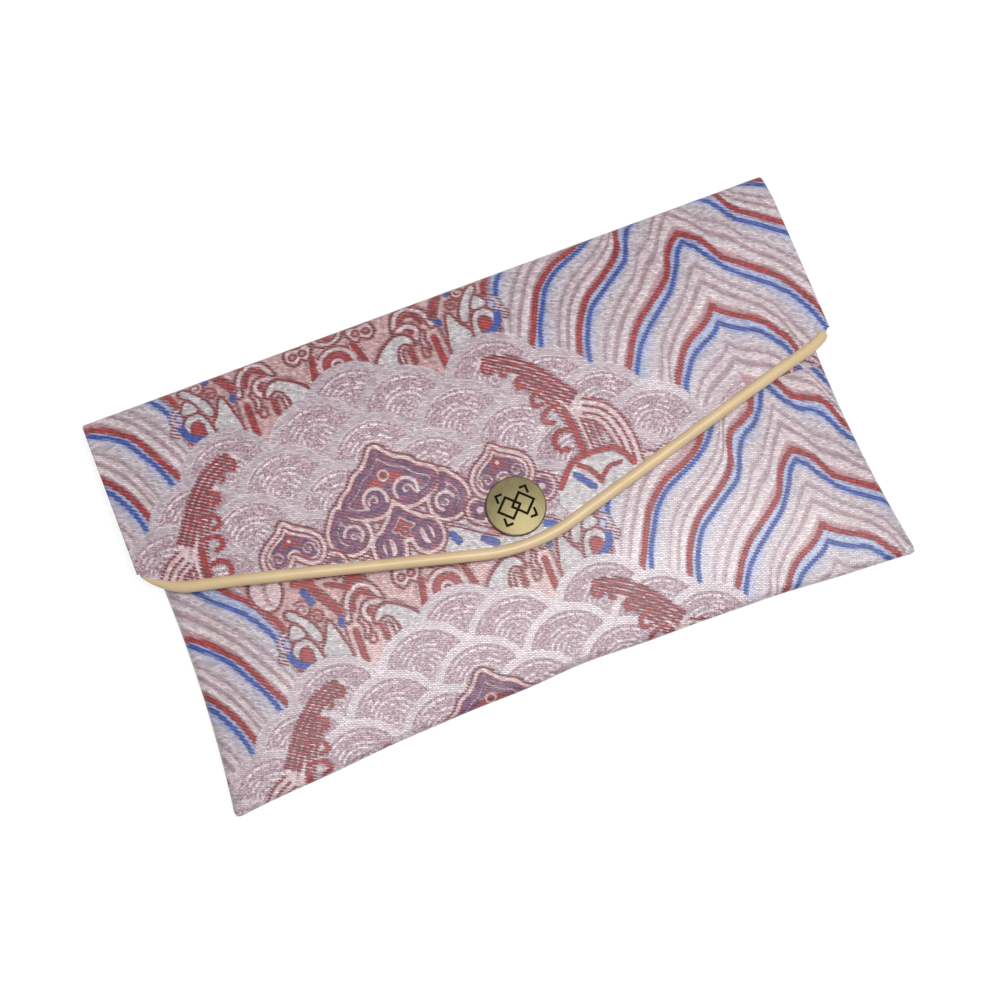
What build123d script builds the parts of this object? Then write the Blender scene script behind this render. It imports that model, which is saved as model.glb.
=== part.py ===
"""Brocade money envelope with a piped flap and a press stud, lying closed on its back.

Axes: X along the top fold, Y from the bottom fold to the top fold, Z up. Lengths in millimetres.
Each panel is a stack of three plies: brocade outside, interlining between, lining inside.
"""
from build123d import *
from math import atan2, cos, sin, sqrt, tan
import os

os.makedirs("parts", exist_ok=True)

# Outline, seen from above
envelope_width = 184.0
envelope_height = 105.0
side_draw_in = 5.0
waist_below_centre = 5.0
bottom_draw_in = 4.0
flap_side_share = 0.4286
flap_reach_share = 0.6895
flap_tip_radius = 30.0
flap_corner_radius = 2.5
mouth_setback = 17.5

# Plies
brocade_thickness = 0.45
interlining_thickness = 0.35
lining_thickness = 0.2
ply_gap = 0.03
seam_gap = 0.36
seam_thread_diameter = 0.3

# Rise of the pouch
pocket_gape = 4.95
crown_half_width = 52.0
belly_end = 4.0
crease_lift = 0.3
front_edge_rise = 1.7
flap_lift = 2.3
flap_side_drop = 4.9
top_fold_height = 2.8
top_fold_round = 1.2
flap_ramp_radius = 70.0
fold_clearance = 0.2

# Piping along the flap's edge
piping_diameter = 3.0
cord_diameter = 2.2
cord_clearance = 0.03
piping_allowance = 3.0
piping_end_inset = 2.0
cord_end_inset = 1.0
piping_stitch_space = 0.5
piping_thread_diameter = 0.26

# Press stud
snap_above_tip = 12.8
cap_diameter = 15.0
cap_wall_height = 0.9
cap_dome_rise = 0.7
cap_sheet = 0.42
cap_edge_round = 0.45
cap_room_round = 0.1
cap_lip_width = 1.1
cap_flange_inset = 0.6
cap_rivet_sheet = 0.3
cap_lip_height = 0.25
engraving_depth = 0.2
engraving_width = 0.62
fit_gap = 0.04
cap_tube_radius = 1.5
tube_wall = 0.4
rivet_sheet = 0.4
rolled_lip_radius = 2.1
rolled_lip_height = 0.15
socket_radius = 4.6
socket_wall = 0.4
socket_plate = 0.22
socket_lip = 0.15
socket_mouth_radius = 3.05
socket_standoff = 0.32
spring_wire_diameter = 0.8
spring_mean_radius = 2.75
spring_gap_angle = 40.0
stud_flange_radius = 5.0
stud_flange_height = 0.35
stud_neck_radius = 2.0
stud_head_radius = 2.6
stud_head_height = 0.4
stud_head_chamfer = 0.12
stud_head_clearance = 0.3
stud_tube_radius = 1.3
stud_tube_short = 0.15
inner_flange_radius = 4.6

# Derived sizes
half_width = envelope_width / 2
half_height = envelope_height / 2
half_waist = half_width - side_draw_in
flap_side_length = flap_side_share * envelope_height
flap_reach = flap_reach_share * envelope_height
interlining_start = brocade_thickness + ply_gap
interlining_end = interlining_start + interlining_thickness
lining_start = interlining_end + ply_gap
stack = lining_start + lining_thickness
front_top = stack + pocket_gape + stack
seam_level = stack + seam_gap
front_edge_top = stack + front_edge_rise
flap_top = front_top + flap_lift + stack
flap_edge_top = flap_top - flap_side_drop
fold_axis_level = top_fold_height / 2
mouth_y = half_height - mouth_setback
snap_y = half_height - flap_reach + snap_above_tip
margin = half_height / 4
floor_level = -2 * flap_top
sky_level = 4 * flap_top
waist_y = -waist_below_centre


def radius_for(run, drop):
    """Radius of an arc that leaves level and falls by drop over run."""
    return (run**2 + drop**2) / (2 * drop)


def fall(radius, run):
    """How far an arc that leaves level has fallen after run."""
    return radius - sqrt(radius**2 - run**2)


def run_for(radius, drop):
    """How far an arc that leaves level runs while it falls by drop."""
    return sqrt(2 * radius * drop - drop**2)


front_shoulder = radius_for(half_width - crown_half_width, front_top - front_edge_top)
toe_top = front_top + crease_lift
front_toe = radius_for(half_height - belly_end, toe_top - front_edge_top)
ramp_top = flap_top + crease_lift
flap_shoulder = radius_for(half_width - crown_half_width, flap_side_drop)
side_radius = radius_for(half_height - waist_y, half_width - half_waist)
ramp_start = half_height - run_for(flap_ramp_radius, ramp_top - top_fold_height)


def bar(edges, direction, reach):
    """Solid made by pulling a closed outline both ways along a direction."""
    return extrude(Face(Wire(edges)), amount=reach, dir=direction, both=True)


def chain(points):
    """Straight edges through points."""
    return [Line(a, b) for a, b in zip(points[:-1], points[1:])]


def across(top, radius, inset):
    """Everything under a level crown with falling shoulders, constant along Y."""
    reach = half_width + margin / 4
    bend = radius - inset
    places = [crown_half_width, (crown_half_width + reach) / 2, reach]
    levels = [top - inset - fall(bend, place - crown_half_width) for place in places]
    right = [(x, 0, z) for x, z in zip(places, levels)]
    left = [(-x, 0, z) for x, z in zip(places, levels)]
    edges = [ThreePointArc(*right), Line(left[0], right[0]), ThreePointArc(*left)]
    edges += chain([right[-1], (reach, 0, floor_level), (-reach, 0, floor_level), left[-1]])
    return bar(edges, (0, 1, 0), envelope_height)


def front_level(inset, mouth):
    """Everything under the front panel's surface at a depth of inset, ending at the mouth."""
    toe = -(half_height + margin / 4)
    places = [-belly_end, (toe - belly_end) / 2, toe]
    bend = front_toe - inset
    arc = [(0, y, toe_top - inset - fall(bend, -belly_end - y)) for y in places]
    ridge = [(0, mouth, floor_level), (0, mouth, toe_top - inset), arc[0]]
    edges = chain(ridge) + [ThreePointArc(*arc)]
    edges += chain([arc[-1], (0, toe, floor_level), ridge[0]])
    return bar(edges, (1, 0, 0), envelope_width) & across(front_top, front_shoulder, inset)


def flap_level(inset):
    """Everything under the flap's surface at a depth of inset, with the upper half of the top fold."""
    nose = half_height - inset
    bend = flap_ramp_radius - inset
    split = fold_axis_level + fold_clearance / 2
    tuck = half_height - top_fold_height
    places = [ramp_start, (ramp_start + nose) / 2, nose]
    ramp = [(0, y, ramp_top - inset - fall(bend, y - ramp_start)) for y in places]
    tip = -half_height
    loop = [ramp[-1], (0, nose, split), (0, tuck, split), (0, tuck, floor_level), (0, tip, floor_level)]
    loop += [(0, tip, ramp_top - inset), ramp[0]]
    face = Face(Wire(chain(loop) + [ThreePointArc(*ramp)]))
    crest = max(face.vertices(), key=lambda v: v.Y + v.Z / envelope_height)
    face = face.fillet_2d(top_fold_round - inset, [crest])
    slab = extrude(face, amount=envelope_width, dir=(1, 0, 0), both=True)
    return slab & across(flap_top, flap_shoulder, inset)


def back_level(inset):
    """Everything above the back panel's surface at a height of inset, with the lower half of the top fold."""
    nose = half_height - inset
    split = fold_axis_level - fold_clearance / 2
    tail = -(half_height + margin)
    loop = [(0, nose, inset), (0, nose, split), (0, tail, split), (0, tail, inset), (0, nose, inset)]
    face = Face(Wire(chain(loop)))
    heel = max(face.vertices(), key=lambda v: v.Y - v.Z / envelope_height)
    face = face.fillet_2d(top_fold_round - inset, [heel])
    return extrude(face, amount=envelope_width, dir=(1, 0, 0), both=True)


def side_x(y, inset):
    """Half-width of the pouch at y, drawn in at the waist."""
    return half_waist - inset + fall(side_radius, y - waist_y)


def pouch_outline(inset, low, high):
    """Upright prism over the pouch's drawn-in outline."""
    corner_x = side_x(half_height, inset)
    toe_y = -(half_height - inset)
    toe_x = side_x(toe_y, inset)
    top_y = half_height + margin
    right = ThreePointArc((toe_x, toe_y, 0), (half_waist - inset, waist_y, 0), (corner_x, half_height, 0))
    left = ThreePointArc((-toe_x, toe_y, 0), (inset - half_waist, waist_y, 0), (-corner_x, half_height, 0))
    toe = ThreePointArc((-toe_x, toe_y, 0), (0, toe_y + bottom_draw_in, 0), (toe_x, toe_y, 0))
    head = [(corner_x, half_height, 0), (corner_x, top_y, 0), (-corner_x, top_y, 0), (-corner_x, half_height, 0)]
    base = Face(Wire([right, left, toe] + chain(head)))
    return extrude(Pos(0, 0, low) * base, amount=high - low, dir=(0, 0, 1))


flap_corner_y = half_height - flap_side_length
flap_tip_y = half_height - flap_reach
tip_rise = flap_corner_y - flap_tip_y
flap_slope = atan2(tip_rise, half_width)


def flap_outline(side_inset, edge_inset):
    """Upright prism over the flap's outline: straight sides and a V edge with a rounded tip."""
    tip_y = flap_tip_y + edge_inset / cos(flap_slope)
    corner_x = half_width - side_inset
    corner_y = tip_y + corner_x * tan(flap_slope)
    top_y = half_height + margin
    right = [(0, tip_y, 0), (corner_x, corner_y, 0), (corner_x, top_y, 0)]
    left = [(-x, y, z) for x, y, z in reversed(right[1:])]
    base = Face(Wire(chain(right + left + right[:1])))
    tip = min(base.vertices(), key=lambda v: v.Y)
    base = base.fillet_2d(flap_tip_radius - edge_inset, [tip])
    corners = [v for v in base.vertices() if abs(v.Y - corner_y) < ply_gap]
    base = base.fillet_2d(flap_corner_radius, corners)
    return extrude(Pos(0, 0, floor_level) * base, amount=sky_level - floor_level, dir=(0, 0, 1))


def edge_path(edge_inset, depth, end_inset):
    """Line that follows the flap's V edge at a distance inside it and at a depth under the flap's top."""
    turn = flap_tip_radius - edge_inset
    tip_y = flap_tip_y + edge_inset / cos(flap_slope)
    level = flap_top - depth
    reach = half_width - end_inset
    end_level = level - fall(flap_shoulder - depth, reach - crown_half_width)
    touch_x = turn * sin(flap_slope)
    tip = (0, tip_y + turn / cos(flap_slope) - turn, level)
    edges = []
    for side in (-1, 1):
        touch, crest, end = [(side * x, tip_y + x * tan(flap_slope)) for x in (touch_x, crown_half_width, reach)]
        heading = (side * cos(flap_slope), sin(flap_slope), 0)
        edges.append(Line((*touch, level), (*crest, level)))
        edges.append(TangentArc((*crest, level), (*end, end_level), tangent=heading))
    edges.append(ThreePointArc((-touch_x, touch[1], level), tip, (touch_x, touch[1], level)))
    return Wire(edges)


def tube(path, radius, bore):
    """Round tube along a path."""
    return sweep(Plane(origin=path @ 0, z_dir=path % 0) * (Circle(radius) - Circle(bore)), path=path)


def rod(path, radius):
    """Round rod along a path."""
    return sweep(Plane(origin=path @ 0, z_dir=path % 0) * Circle(radius), path=path)


def turned(points):
    """Solid of revolution about the press stud's axis, from (radius, level) points."""
    loop = [(r, 0, z) for r, z in points]
    return Pos(0, snap_y, 0) * revolve(Face(Wire(chain(loop + loop[:1]))), axis=Axis.Z)


def post(radius, low, high):
    """Round post on the press stud's axis."""
    return turned([(0, low), (radius, low), (radius, high), (0, high)])


def one(shape):
    """The single solid in a result."""
    return shape.solids().sort_by(SortBy.VOLUME)[-1]


# Back panel: a flat tray whose brocade turns up round the plies and curls into the top fold
back_hollow = back_level(stack)
back_rim = pouch_outline(0, floor_level, sky_level)
back_bed = pouch_outline(brocade_thickness, floor_level, sky_level)
back_inner = pouch_outline(interlining_start, floor_level, sky_level)
back_brocade = (back_level(0) & back_rim) - (back_level(brocade_thickness) & back_bed) - back_hollow
back_interlining = (back_level(interlining_start) & back_inner) - back_level(interlining_end)
back_lining = (back_level(lining_start) & back_inner) - back_hollow

# Front panel: a crowned shell whose brocade turns in over the mouth's edge
mouth_turn = mouth_y - interlining_start
pocket = front_level(stack, mouth_y + margin) & pouch_outline(stack, seam_level, sky_level)
front_shell = front_level(0, mouth_y) & pouch_outline(0, seam_level, sky_level)
front_bed = front_level(brocade_thickness, mouth_y - brocade_thickness)
front_bed &= pouch_outline(brocade_thickness, seam_level, sky_level)
front_brocade = front_shell - front_bed - pocket
front_interlining = front_level(interlining_start, mouth_turn)
front_interlining &= pouch_outline(interlining_start, seam_level, sky_level)
front_interlining -= front_level(interlining_end, mouth_y) & pouch_outline(interlining_end, floor_level, sky_level)
front_lining = front_level(lining_start, mouth_turn) & pouch_outline(lining_start, seam_level, sky_level)
front_lining -= pocket

# Flap: the brocade turns round both sides, and the V edge is open to the piping
edge_cut = piping_diameter + ply_gap
flap_hollow = flap_level(stack)
flap_open = flap_outline(brocade_thickness, 0)
flap_side = flap_outline(interlining_start, edge_cut)
flap_brocade = flap_level(0) & flap_outline(0, edge_cut)
flap_brocade = flap_brocade - (flap_level(brocade_thickness) & flap_open) - flap_hollow
flap_middle = flap_level(interlining_start) - flap_level(interlining_end)
allowance_edge = edge_cut + piping_allowance
flap_interlining = flap_middle & flap_outline(interlining_start, allowance_edge + piping_stitch_space)
flap_lining = (flap_level(lining_start) & flap_side) - flap_hollow

# Piping: a cord in a bias cover, whose allowance lies in the interlining's layer
piping_depth = stack / 2
piping_line = edge_path(piping_diameter / 2, piping_depth, piping_end_inset)
cord_line = edge_path(piping_diameter / 2, piping_depth, piping_end_inset + cord_end_inset)
wall_middle = (piping_diameter + cord_diameter) / 4
allowance = flap_middle & flap_outline(2 * flap_corner_radius, piping_diameter / 2 + wall_middle)
allowance -= flap_outline(0, allowance_edge)
piping_cover = tube(piping_line, piping_diameter / 2, cord_diameter / 2 + cord_clearance) + allowance
piping_cord = rod(cord_line, cord_diameter / 2)
stitch_depth = (interlining_start + interlining_end) / 2
stitch_line = edge_path(allowance_edge + piping_stitch_space / 2, stitch_depth, 4 * flap_corner_radius)
piping_seam_thread = rod(stitch_line, piping_thread_diameter / 2)


def seam_thread(side):
    """Thread of a side seam, between the rims of front and back."""
    inset = brocade_thickness
    ends = [inset - half_height, (mouth_turn - half_height) / 2, mouth_turn]
    points = [(side * side_x(y, inset), y, stack + seam_gap / 2) for y in ends]
    return rod(ThreePointArc(*points), seam_thread_diameter / 2)


# Press stud, upper half: cap, its rivet, and the socket with its ring spring
cap_base = flap_top + ply_gap
cap_shoulder = cap_base + cap_wall_height
cap_top = cap_shoulder + cap_dome_rise
cap_radius = cap_diameter / 2
dome_radius = radius_for(cap_radius, cap_dome_rise)


def dome(radius, base, sink, edge_round):
    """Low round boss with a domed top, sunk below the cap's own dome."""
    bend = dome_radius - sink
    levels = [cap_top - sink - fall(bend, r) for r in (0, radius / 2, radius)]
    arc = ThreePointArc((0, 0, levels[0]), (radius / 2, 0, levels[1]), (radius, 0, levels[2]))
    sides = chain([(radius, 0, levels[2]), (radius, 0, base), (0, 0, base), (0, 0, levels[0])])
    face = Face(Wire([arc] + sides))
    rim = max(face.vertices(), key=lambda v: v.X + v.Z / envelope_height)
    return revolve(face.fillet_2d(edge_round, [rim]), axis=Axis.Z)


def lozenge_ring(reach, width, centre):
    """Diamond-shaped frame, as deep as the cap."""
    outer = extrude(Pos(centre, 0, 0) * Rectangle(reach, reach, rotation=diamond_turn), amount=sky_level)
    inner_side = reach - 2 * width
    return outer - extrude(Pos(centre, 0, 0) * Rectangle(inner_side, inner_side, rotation=diamond_turn), amount=sky_level)


def corner_key(x_side, y_side):
    """L-shaped fret in a quarter of the cap."""
    far = key_reach_share * cap_radius
    near = key_start_share * cap_radius
    span = far - near
    middle = (far + near) / 2
    flat = Pos(x_side * middle, y_side * far, 0) * Box(span, engraving_width, sky_level)
    upright = Pos(x_side * far, y_side * middle, 0) * Box(engraving_width, span + engraving_width, sky_level)
    return flat + upright


diamond_turn = 45.0
lozenge_share = 0.62
lozenge_offset_share = 0.24
key_reach_share = 0.52
key_start_share = 0.3
lozenge_side = lozenge_share * cap_radius
lozenge_shift = lozenge_offset_share * cap_radius
ornament = lozenge_ring(lozenge_side, engraving_width, -lozenge_shift)
ornament += lozenge_ring(lozenge_side, engraving_width, lozenge_shift)
for x_side in (-1, 1):
    for y_side in (-1, 1):
        ornament += corner_key(x_side, y_side)

cap_body = dome(cap_radius, cap_base, 0, cap_edge_round)
cap_room = dome(cap_radius - cap_sheet, cap_base + cap_lip_height, cap_sheet, cap_room_round)
cap_mouth = Pos(0, 0, cap_base) * Cylinder(cap_radius - cap_sheet - cap_lip_width, cap_wall_height)
engraved_skin = dome(cap_radius, cap_shoulder - cap_sheet, 0, cap_edge_round)
engraved_skin -= dome(cap_radius, cap_base, engraving_depth, cap_edge_round)
engraving = ornament & engraved_skin
cap_shell = Pos(0, snap_y, 0) * (cap_body - cap_room - cap_mouth - engraving)

socket_top = flap_top - brocade_thickness - ply_gap
socket_under = socket_top - socket_plate
socket_foot = front_top + ply_gap + stud_flange_height + socket_standoff
lip_under = socket_under - fit_gap - rolled_lip_height
rivet_low = cap_base + cap_lip_height + fit_gap
rivet_high = rivet_low + cap_rivet_sheet
cap_bore = cap_tube_radius - tube_wall
cap_flange = cap_radius - cap_sheet - cap_flange_inset
cap_rivet_line = [(cap_bore, lip_under), (rolled_lip_radius, lip_under)]
cap_rivet_line += [(rolled_lip_radius, socket_under - fit_gap), (cap_tube_radius, socket_under - fit_gap)]
cap_rivet_line += [(cap_tube_radius, rivet_low), (cap_flange, rivet_low), (cap_flange, rivet_high), (cap_bore, rivet_high)]
cap_rivet = turned(cap_rivet_line)

socket_room = socket_radius - socket_wall
socket_hole = cap_tube_radius + fit_gap
socket_line = [(socket_mouth_radius, socket_foot), (socket_radius, socket_foot), (socket_radius, socket_top)]
socket_line += [(socket_hole, socket_top), (socket_hole, socket_under), (socket_room, socket_under)]
socket_line += [(socket_room, socket_foot + socket_lip), (socket_mouth_radius, socket_foot + socket_lip)]
snap_socket = turned(socket_line)

spring_level = socket_foot + socket_lip + spring_wire_diameter / 2 + fit_gap
spring_section = Plane.XZ * (Pos(spring_mean_radius, spring_level) * Circle(spring_wire_diameter / 2))
snap_spring = revolve(spring_section, axis=Axis.Z, revolution_arc=360 - spring_gap_angle)
snap_spring = Pos(0, snap_y, 0) * snap_spring

# Press stud, lower half: the stud and the rivet that holds it through the front panel
stud_foot = front_top + ply_gap
stud_shelf = stud_foot + stud_flange_height
stud_top = lip_under - stud_head_clearance
head_low = stud_top - stud_head_height
stud_bore = stud_tube_radius + fit_gap
head_edge = stud_head_radius - stud_head_chamfer
stud_line = [(stud_bore, stud_foot), (stud_flange_radius, stud_foot), (stud_flange_radius, stud_shelf)]
stud_line += [(stud_neck_radius, stud_shelf), (stud_neck_radius, head_low), (stud_head_radius, head_low)]
stud_line += [(stud_head_radius, stud_top - stud_head_chamfer), (head_edge, stud_top), (stud_bore, stud_top)]
snap_stud = turned(stud_line)

inner_face = front_top - stack - ply_gap
stud_rivet_bore = stud_tube_radius - tube_wall
stud_rivet_top = stud_top - stud_tube_short
stud_rivet_line = [(stud_rivet_bore, inner_face - rivet_sheet), (inner_flange_radius, inner_face - rivet_sheet)]
stud_rivet_line += [(inner_flange_radius, inner_face), (stud_tube_radius, inner_face)]
stud_rivet_line += [(stud_tube_radius, stud_rivet_top), (stud_rivet_bore, stud_rivet_top)]
stud_rivet = turned(stud_rivet_line)

# Holes through the plies for the press stud
front_hole = post(stud_tube_radius + fit_gap, stack, sky_level)
flap_hole = post(cap_tube_radius + fit_gap, front_top, sky_level)
flap_seat = post(socket_radius + fit_gap, front_top, sky_level)

pieces = {
    "front_brocade": front_brocade - front_hole,
    "front_interlining": front_interlining - front_hole,
    "front_lining": front_lining - front_hole,
    "back_brocade": back_brocade,
    "back_interlining": back_interlining,
    "back_lining": back_lining,
    "flap_brocade": flap_brocade - flap_hole,
    "flap_interlining": flap_interlining - flap_seat,
    "flap_lining": flap_lining - flap_seat,
    "piping_cover": piping_cover,
    "piping_cord": piping_cord,
    "piping_seam_thread": piping_seam_thread,
    "left_seam_thread": seam_thread(-1),
    "right_seam_thread": seam_thread(1),
    "cap_shell": cap_shell,
    "cap_rivet": cap_rivet,
    "snap_socket": snap_socket,
    "snap_spring": snap_spring,
    "snap_stud": snap_stud,
    "stud_rivet": stud_rivet,
}

for node, shape in pieces.items():
    export_step(one(shape), f"parts/{node}.step")
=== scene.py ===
import math

import bpy
import numpy as np
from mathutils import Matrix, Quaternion, Vector


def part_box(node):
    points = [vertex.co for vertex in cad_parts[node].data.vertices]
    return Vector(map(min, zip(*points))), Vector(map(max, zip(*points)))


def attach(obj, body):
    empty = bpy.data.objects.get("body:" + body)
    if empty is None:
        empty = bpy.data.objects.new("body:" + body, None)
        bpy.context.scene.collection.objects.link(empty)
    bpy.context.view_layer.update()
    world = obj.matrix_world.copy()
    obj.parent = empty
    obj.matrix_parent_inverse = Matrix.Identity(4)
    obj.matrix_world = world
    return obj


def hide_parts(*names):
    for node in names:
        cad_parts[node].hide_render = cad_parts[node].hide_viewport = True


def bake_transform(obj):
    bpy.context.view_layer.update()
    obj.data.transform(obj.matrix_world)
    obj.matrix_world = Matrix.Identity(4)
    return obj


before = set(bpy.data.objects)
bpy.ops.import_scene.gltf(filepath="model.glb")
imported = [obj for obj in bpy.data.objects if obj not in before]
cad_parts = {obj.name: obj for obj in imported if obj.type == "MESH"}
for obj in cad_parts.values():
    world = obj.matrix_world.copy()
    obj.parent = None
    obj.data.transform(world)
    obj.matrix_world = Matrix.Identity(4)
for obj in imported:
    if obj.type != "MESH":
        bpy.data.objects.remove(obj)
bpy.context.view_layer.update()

# A brocade gift-money envelope with a piped flap and a brass press stud, lying on its back.
# Lengths below are in millimetres, in the frame's axes; meshes are written in metres.
MM = 0.001


def corners(node):
    """Lowest and highest corner of a solid of the frame, in millimetres."""
    low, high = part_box(node)
    return np.array(low) / MM, np.array(high) / MM


# Driving sizes of the envelope, most of them read from the frame
half_width = corners("flap_brocade")[1][0]
half_height = corners("back_brocade")[1][1]
flap_top = corners("flap_brocade")[1][2]
front_top = corners("front_brocade")[1][2]
mouth_y = corners("front_brocade")[1][1]
pouch_half_foot = corners("front_brocade")[1][0]
snap_y = np.mean(corners("cap_shell"), axis=0)[1]
cap_top = corners("cap_shell")[1][2]

# Three plies of cloth with the air between them, and the level at which front and back are sewn
stack = 1.06
seam_level = 1.4

# The crown of the front panel and of the flap
crown_half_width = 52.0
crease_lift = 0.3
crease_reach = 1.6
front_edge_top = 2.76
flap_side_drop = 4.9
belly_end = 4.0
toe_end = 52.5
top_fold_height = 2.8
ramp_radius = 70.0

# The outline: drawn-in sides, bowed-in bottom fold and the flap's V
side_draw_in = 5.0
waist_below_centre = 5.0
bottom_draw_in = 4.0
bottom_corner_round = 1.8
flap_side_length = 47.4
flap_reach = 72.4
flap_tip_radius = 48.0
left_corner_round = 7.0
right_corner_round = 3.0
piping_diameter = 3.0

# Waviness of limp cloth: its height, then its lengths and phase
front_ripple = 0.16
front_waves = (17.0, 11.0, 0.6)
flap_ripple = 0.14
flap_waves = (19.0, 13.0, 2.2)
calm_by_fold = 12.0
bottom_ripple = 0.45
bottom_waves = (7.3, 23.0)

# Soft hollows where the press stud and the piping's seam pull the flap: start, end, width, depth
flap_hollows = [
    ((9, 1), (13, 8), 3.0, 0.5),
    ((42, 7), (47, 2), 3.0, 0.45),
    ((-12, -3), (-20, 4), 3.5, 0.35),
    ((-60, 8), (-72, 13), 4.0, 0.4),
]


def radius_for(run, drop):
    """Radius of the arc that falls by drop over run, starting level."""
    return (run * run + drop * drop) / (2 * drop)


def fall(radius, run):
    """How far such an arc has fallen after run."""
    run = np.clip(run, 0, 0.999 * radius)
    return radius - np.sqrt(radius * radius - run * run)


def soft_min(first, second, reach):
    """The smaller of two levels, with a rounded crease where they cross."""
    share = np.clip(0.5 + 0.5 * (second - first) / reach, 0, 1)
    return second + (first - second) * share - reach * share * (1 - share)


side_run = half_width - crown_half_width
front_shoulder = radius_for(side_run, front_top - front_edge_top)
front_toe = radius_for(toe_end - belly_end, front_top + crease_lift - front_edge_top)
flap_shoulder = radius_for(side_run, flap_side_drop)
ramp_fall = flap_top + crease_lift - top_fold_height
ramp_start = half_height - math.sqrt(2 * ramp_radius * ramp_fall - ramp_fall * ramp_fall)
side_radius = radius_for(half_height + waist_below_centre, side_draw_in)
bottom_radius = radius_for(pouch_half_foot, bottom_draw_in)

flap_slope = math.atan2(flap_reach - flap_side_length, half_width)
flap_tip_y = half_height - flap_reach
tip_centre_y = flap_tip_y + flap_tip_radius / math.cos(flap_slope)


def ripple(x, y, across, along, phase):
    """A slow, uneven waviness of limp cloth, between about -1 and 1."""
    first = np.sin(x / across + phase) * np.cos(y / along - 2.1 * phase)
    second = np.sin((x + 1.3 * y) / (0.57 * across) + 3.7 * phase)
    return 0.62 * first + 0.38 * second


def to_run(x, y, start, end):
    """Distance to a straight run between two places."""
    dx, dy = end[0] - start[0], end[1] - start[1]
    share = np.clip(((x - start[0]) * dx + (y - start[1]) * dy) / (dx * dx + dy * dy), 0, 1)
    return np.hypot(x - start[0] - share * dx, y - start[1] - share * dy)


def front_level(x, y):
    """Height of the front panel's outer face."""
    across = front_top - fall(front_shoulder, np.abs(x) - crown_half_width)
    along = front_top + crease_lift - fall(front_toe, -belly_end - y)
    return soft_min(across, along, crease_reach) + front_ripple * ripple(x, y, *front_waves)


def flap_level(x, y):
    """Height of the flap's outer face."""
    across = flap_top - fall(flap_shoulder, np.abs(x) - crown_half_width)
    along = flap_top + crease_lift - fall(ramp_radius, y - ramp_start)
    calm = np.clip((half_height - y) / calm_by_fold, 0, 1)
    level = soft_min(across, along, crease_reach) + flap_ripple * calm * ripple(x, y, *flap_waves)
    for start, end, reach, depth in flap_hollows:
        level = level - depth * np.exp(-(to_run(x, y, start, end) / reach) ** 2)
    return level


def pouch_side(y):
    """Half width of the pouch, drawn in at its waist."""
    return half_width - side_draw_in + fall(side_radius, np.abs(y + waist_below_centre))


def pouch_bottom(x):
    """Where the bottom fold runs, bowed in at its middle."""
    short, long = bottom_waves
    uneven = bottom_ripple * np.sin(x / short + 1.0) * np.cos(x / long) ** 2 * (1 - (x / half_width) ** 2)
    corner = fall(bottom_corner_round, np.abs(x) - pouch_half_foot + bottom_corner_round)
    return -half_height + bottom_draw_in - fall(bottom_radius, np.abs(x)) + uneven + corner


def flap_edge(x, inset):
    """The V edge of the flap, inset from its outer line, with the rounded tip."""
    x = np.abs(x)
    line = flap_tip_y + x * math.tan(flap_slope) + inset / math.cos(flap_slope)
    radius = flap_tip_radius - inset
    arc = tip_centre_y - np.sqrt(np.clip(radius * radius - x * x, 0, None))
    return np.where(x < radius * math.sin(flap_slope), arc, line)


# Mesh helpers

def outward(points):
    """Unit normals of a grid of points, on the side that the cloth shows."""
    normal = np.cross(np.gradient(points, axis=0), np.gradient(points, axis=1))
    return normal / np.maximum(np.linalg.norm(normal, axis=2, keepdims=True), 1e-9)


def grid_faces(rows, columns, ring=False):
    """Quads of a grid of points; a ring closes across its columns."""
    row = np.arange(rows - 1)[:, None]
    column = np.arange(columns if ring else columns - 1)[None, :]
    after = (column + 1) % columns
    quad = [row * columns + column, (row + 1) * columns + column]
    quad += [(row + 1) * columns + after, row * columns + after]
    return np.stack([np.broadcast_to(q, (rows - 1, column.size)) for q in quad], axis=2).reshape(-1, 4)


def sheet_object(name, points, faces, material):
    """A smooth mesh object from points in millimetres."""
    mesh = bpy.data.meshes.new(name)
    mesh.from_pydata((points.reshape(-1, 3) * MM).tolist(), [], [[int(i) for i in face] for face in faces])
    mesh.polygons.foreach_set("use_smooth", np.ones(len(mesh.polygons), bool))
    mesh.materials.append(material)
    piece = bpy.data.objects.new(name, mesh)
    bpy.context.scene.collection.objects.link(piece)
    return piece


def store(piece, name, values):
    """Keeps one number per point with the mesh, for its material."""
    held = piece.data.attributes.new(name, "FLOAT", "POINT")
    held.data.foreach_set("value", values.astype(np.float32).ravel())


def store_strip(piece, x, v):
    """Keeps each point's place on the flat strip of cloth, in millimetres."""
    held = piece.data.attributes.new("strip", "FLOAT_VECTOR", "POINT")
    flat = np.stack([x.ravel(), v.ravel(), np.zeros(x.size)], axis=1)
    held.data.foreach_set("vector", flat.astype(np.float32).ravel())


# The woven figure: a traditional sea with fish-scale waves, foam, crests, ruyi clouds and a striped
# mountain of standing water. It is the same to both sides of the clouds' axis and of the mountain's.
# Places are (distance from the clouds' axis, height on the flap), in millimetres.
cloud_axis = -27.5
half_repeat = 92.5
half_drop = 71.25
figure_foot = -8.25
front_shift_x = 5.0
front_shift_y = 62.3
left_seam_tug = 5.0
foot_take_up = 0.08
far = 3.0
curl_in_share = 0.82
threads = ["rose", "silver", "pale", "violet", "ember", "wine", "red", "blue"]

red_half_width = 0.78
blue_half_width = 0.62
foot_slope = 4.0
axis_slope = 1.2
lowest_band = 16.0
highest_band = 14.0
least_band = 0.5
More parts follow.
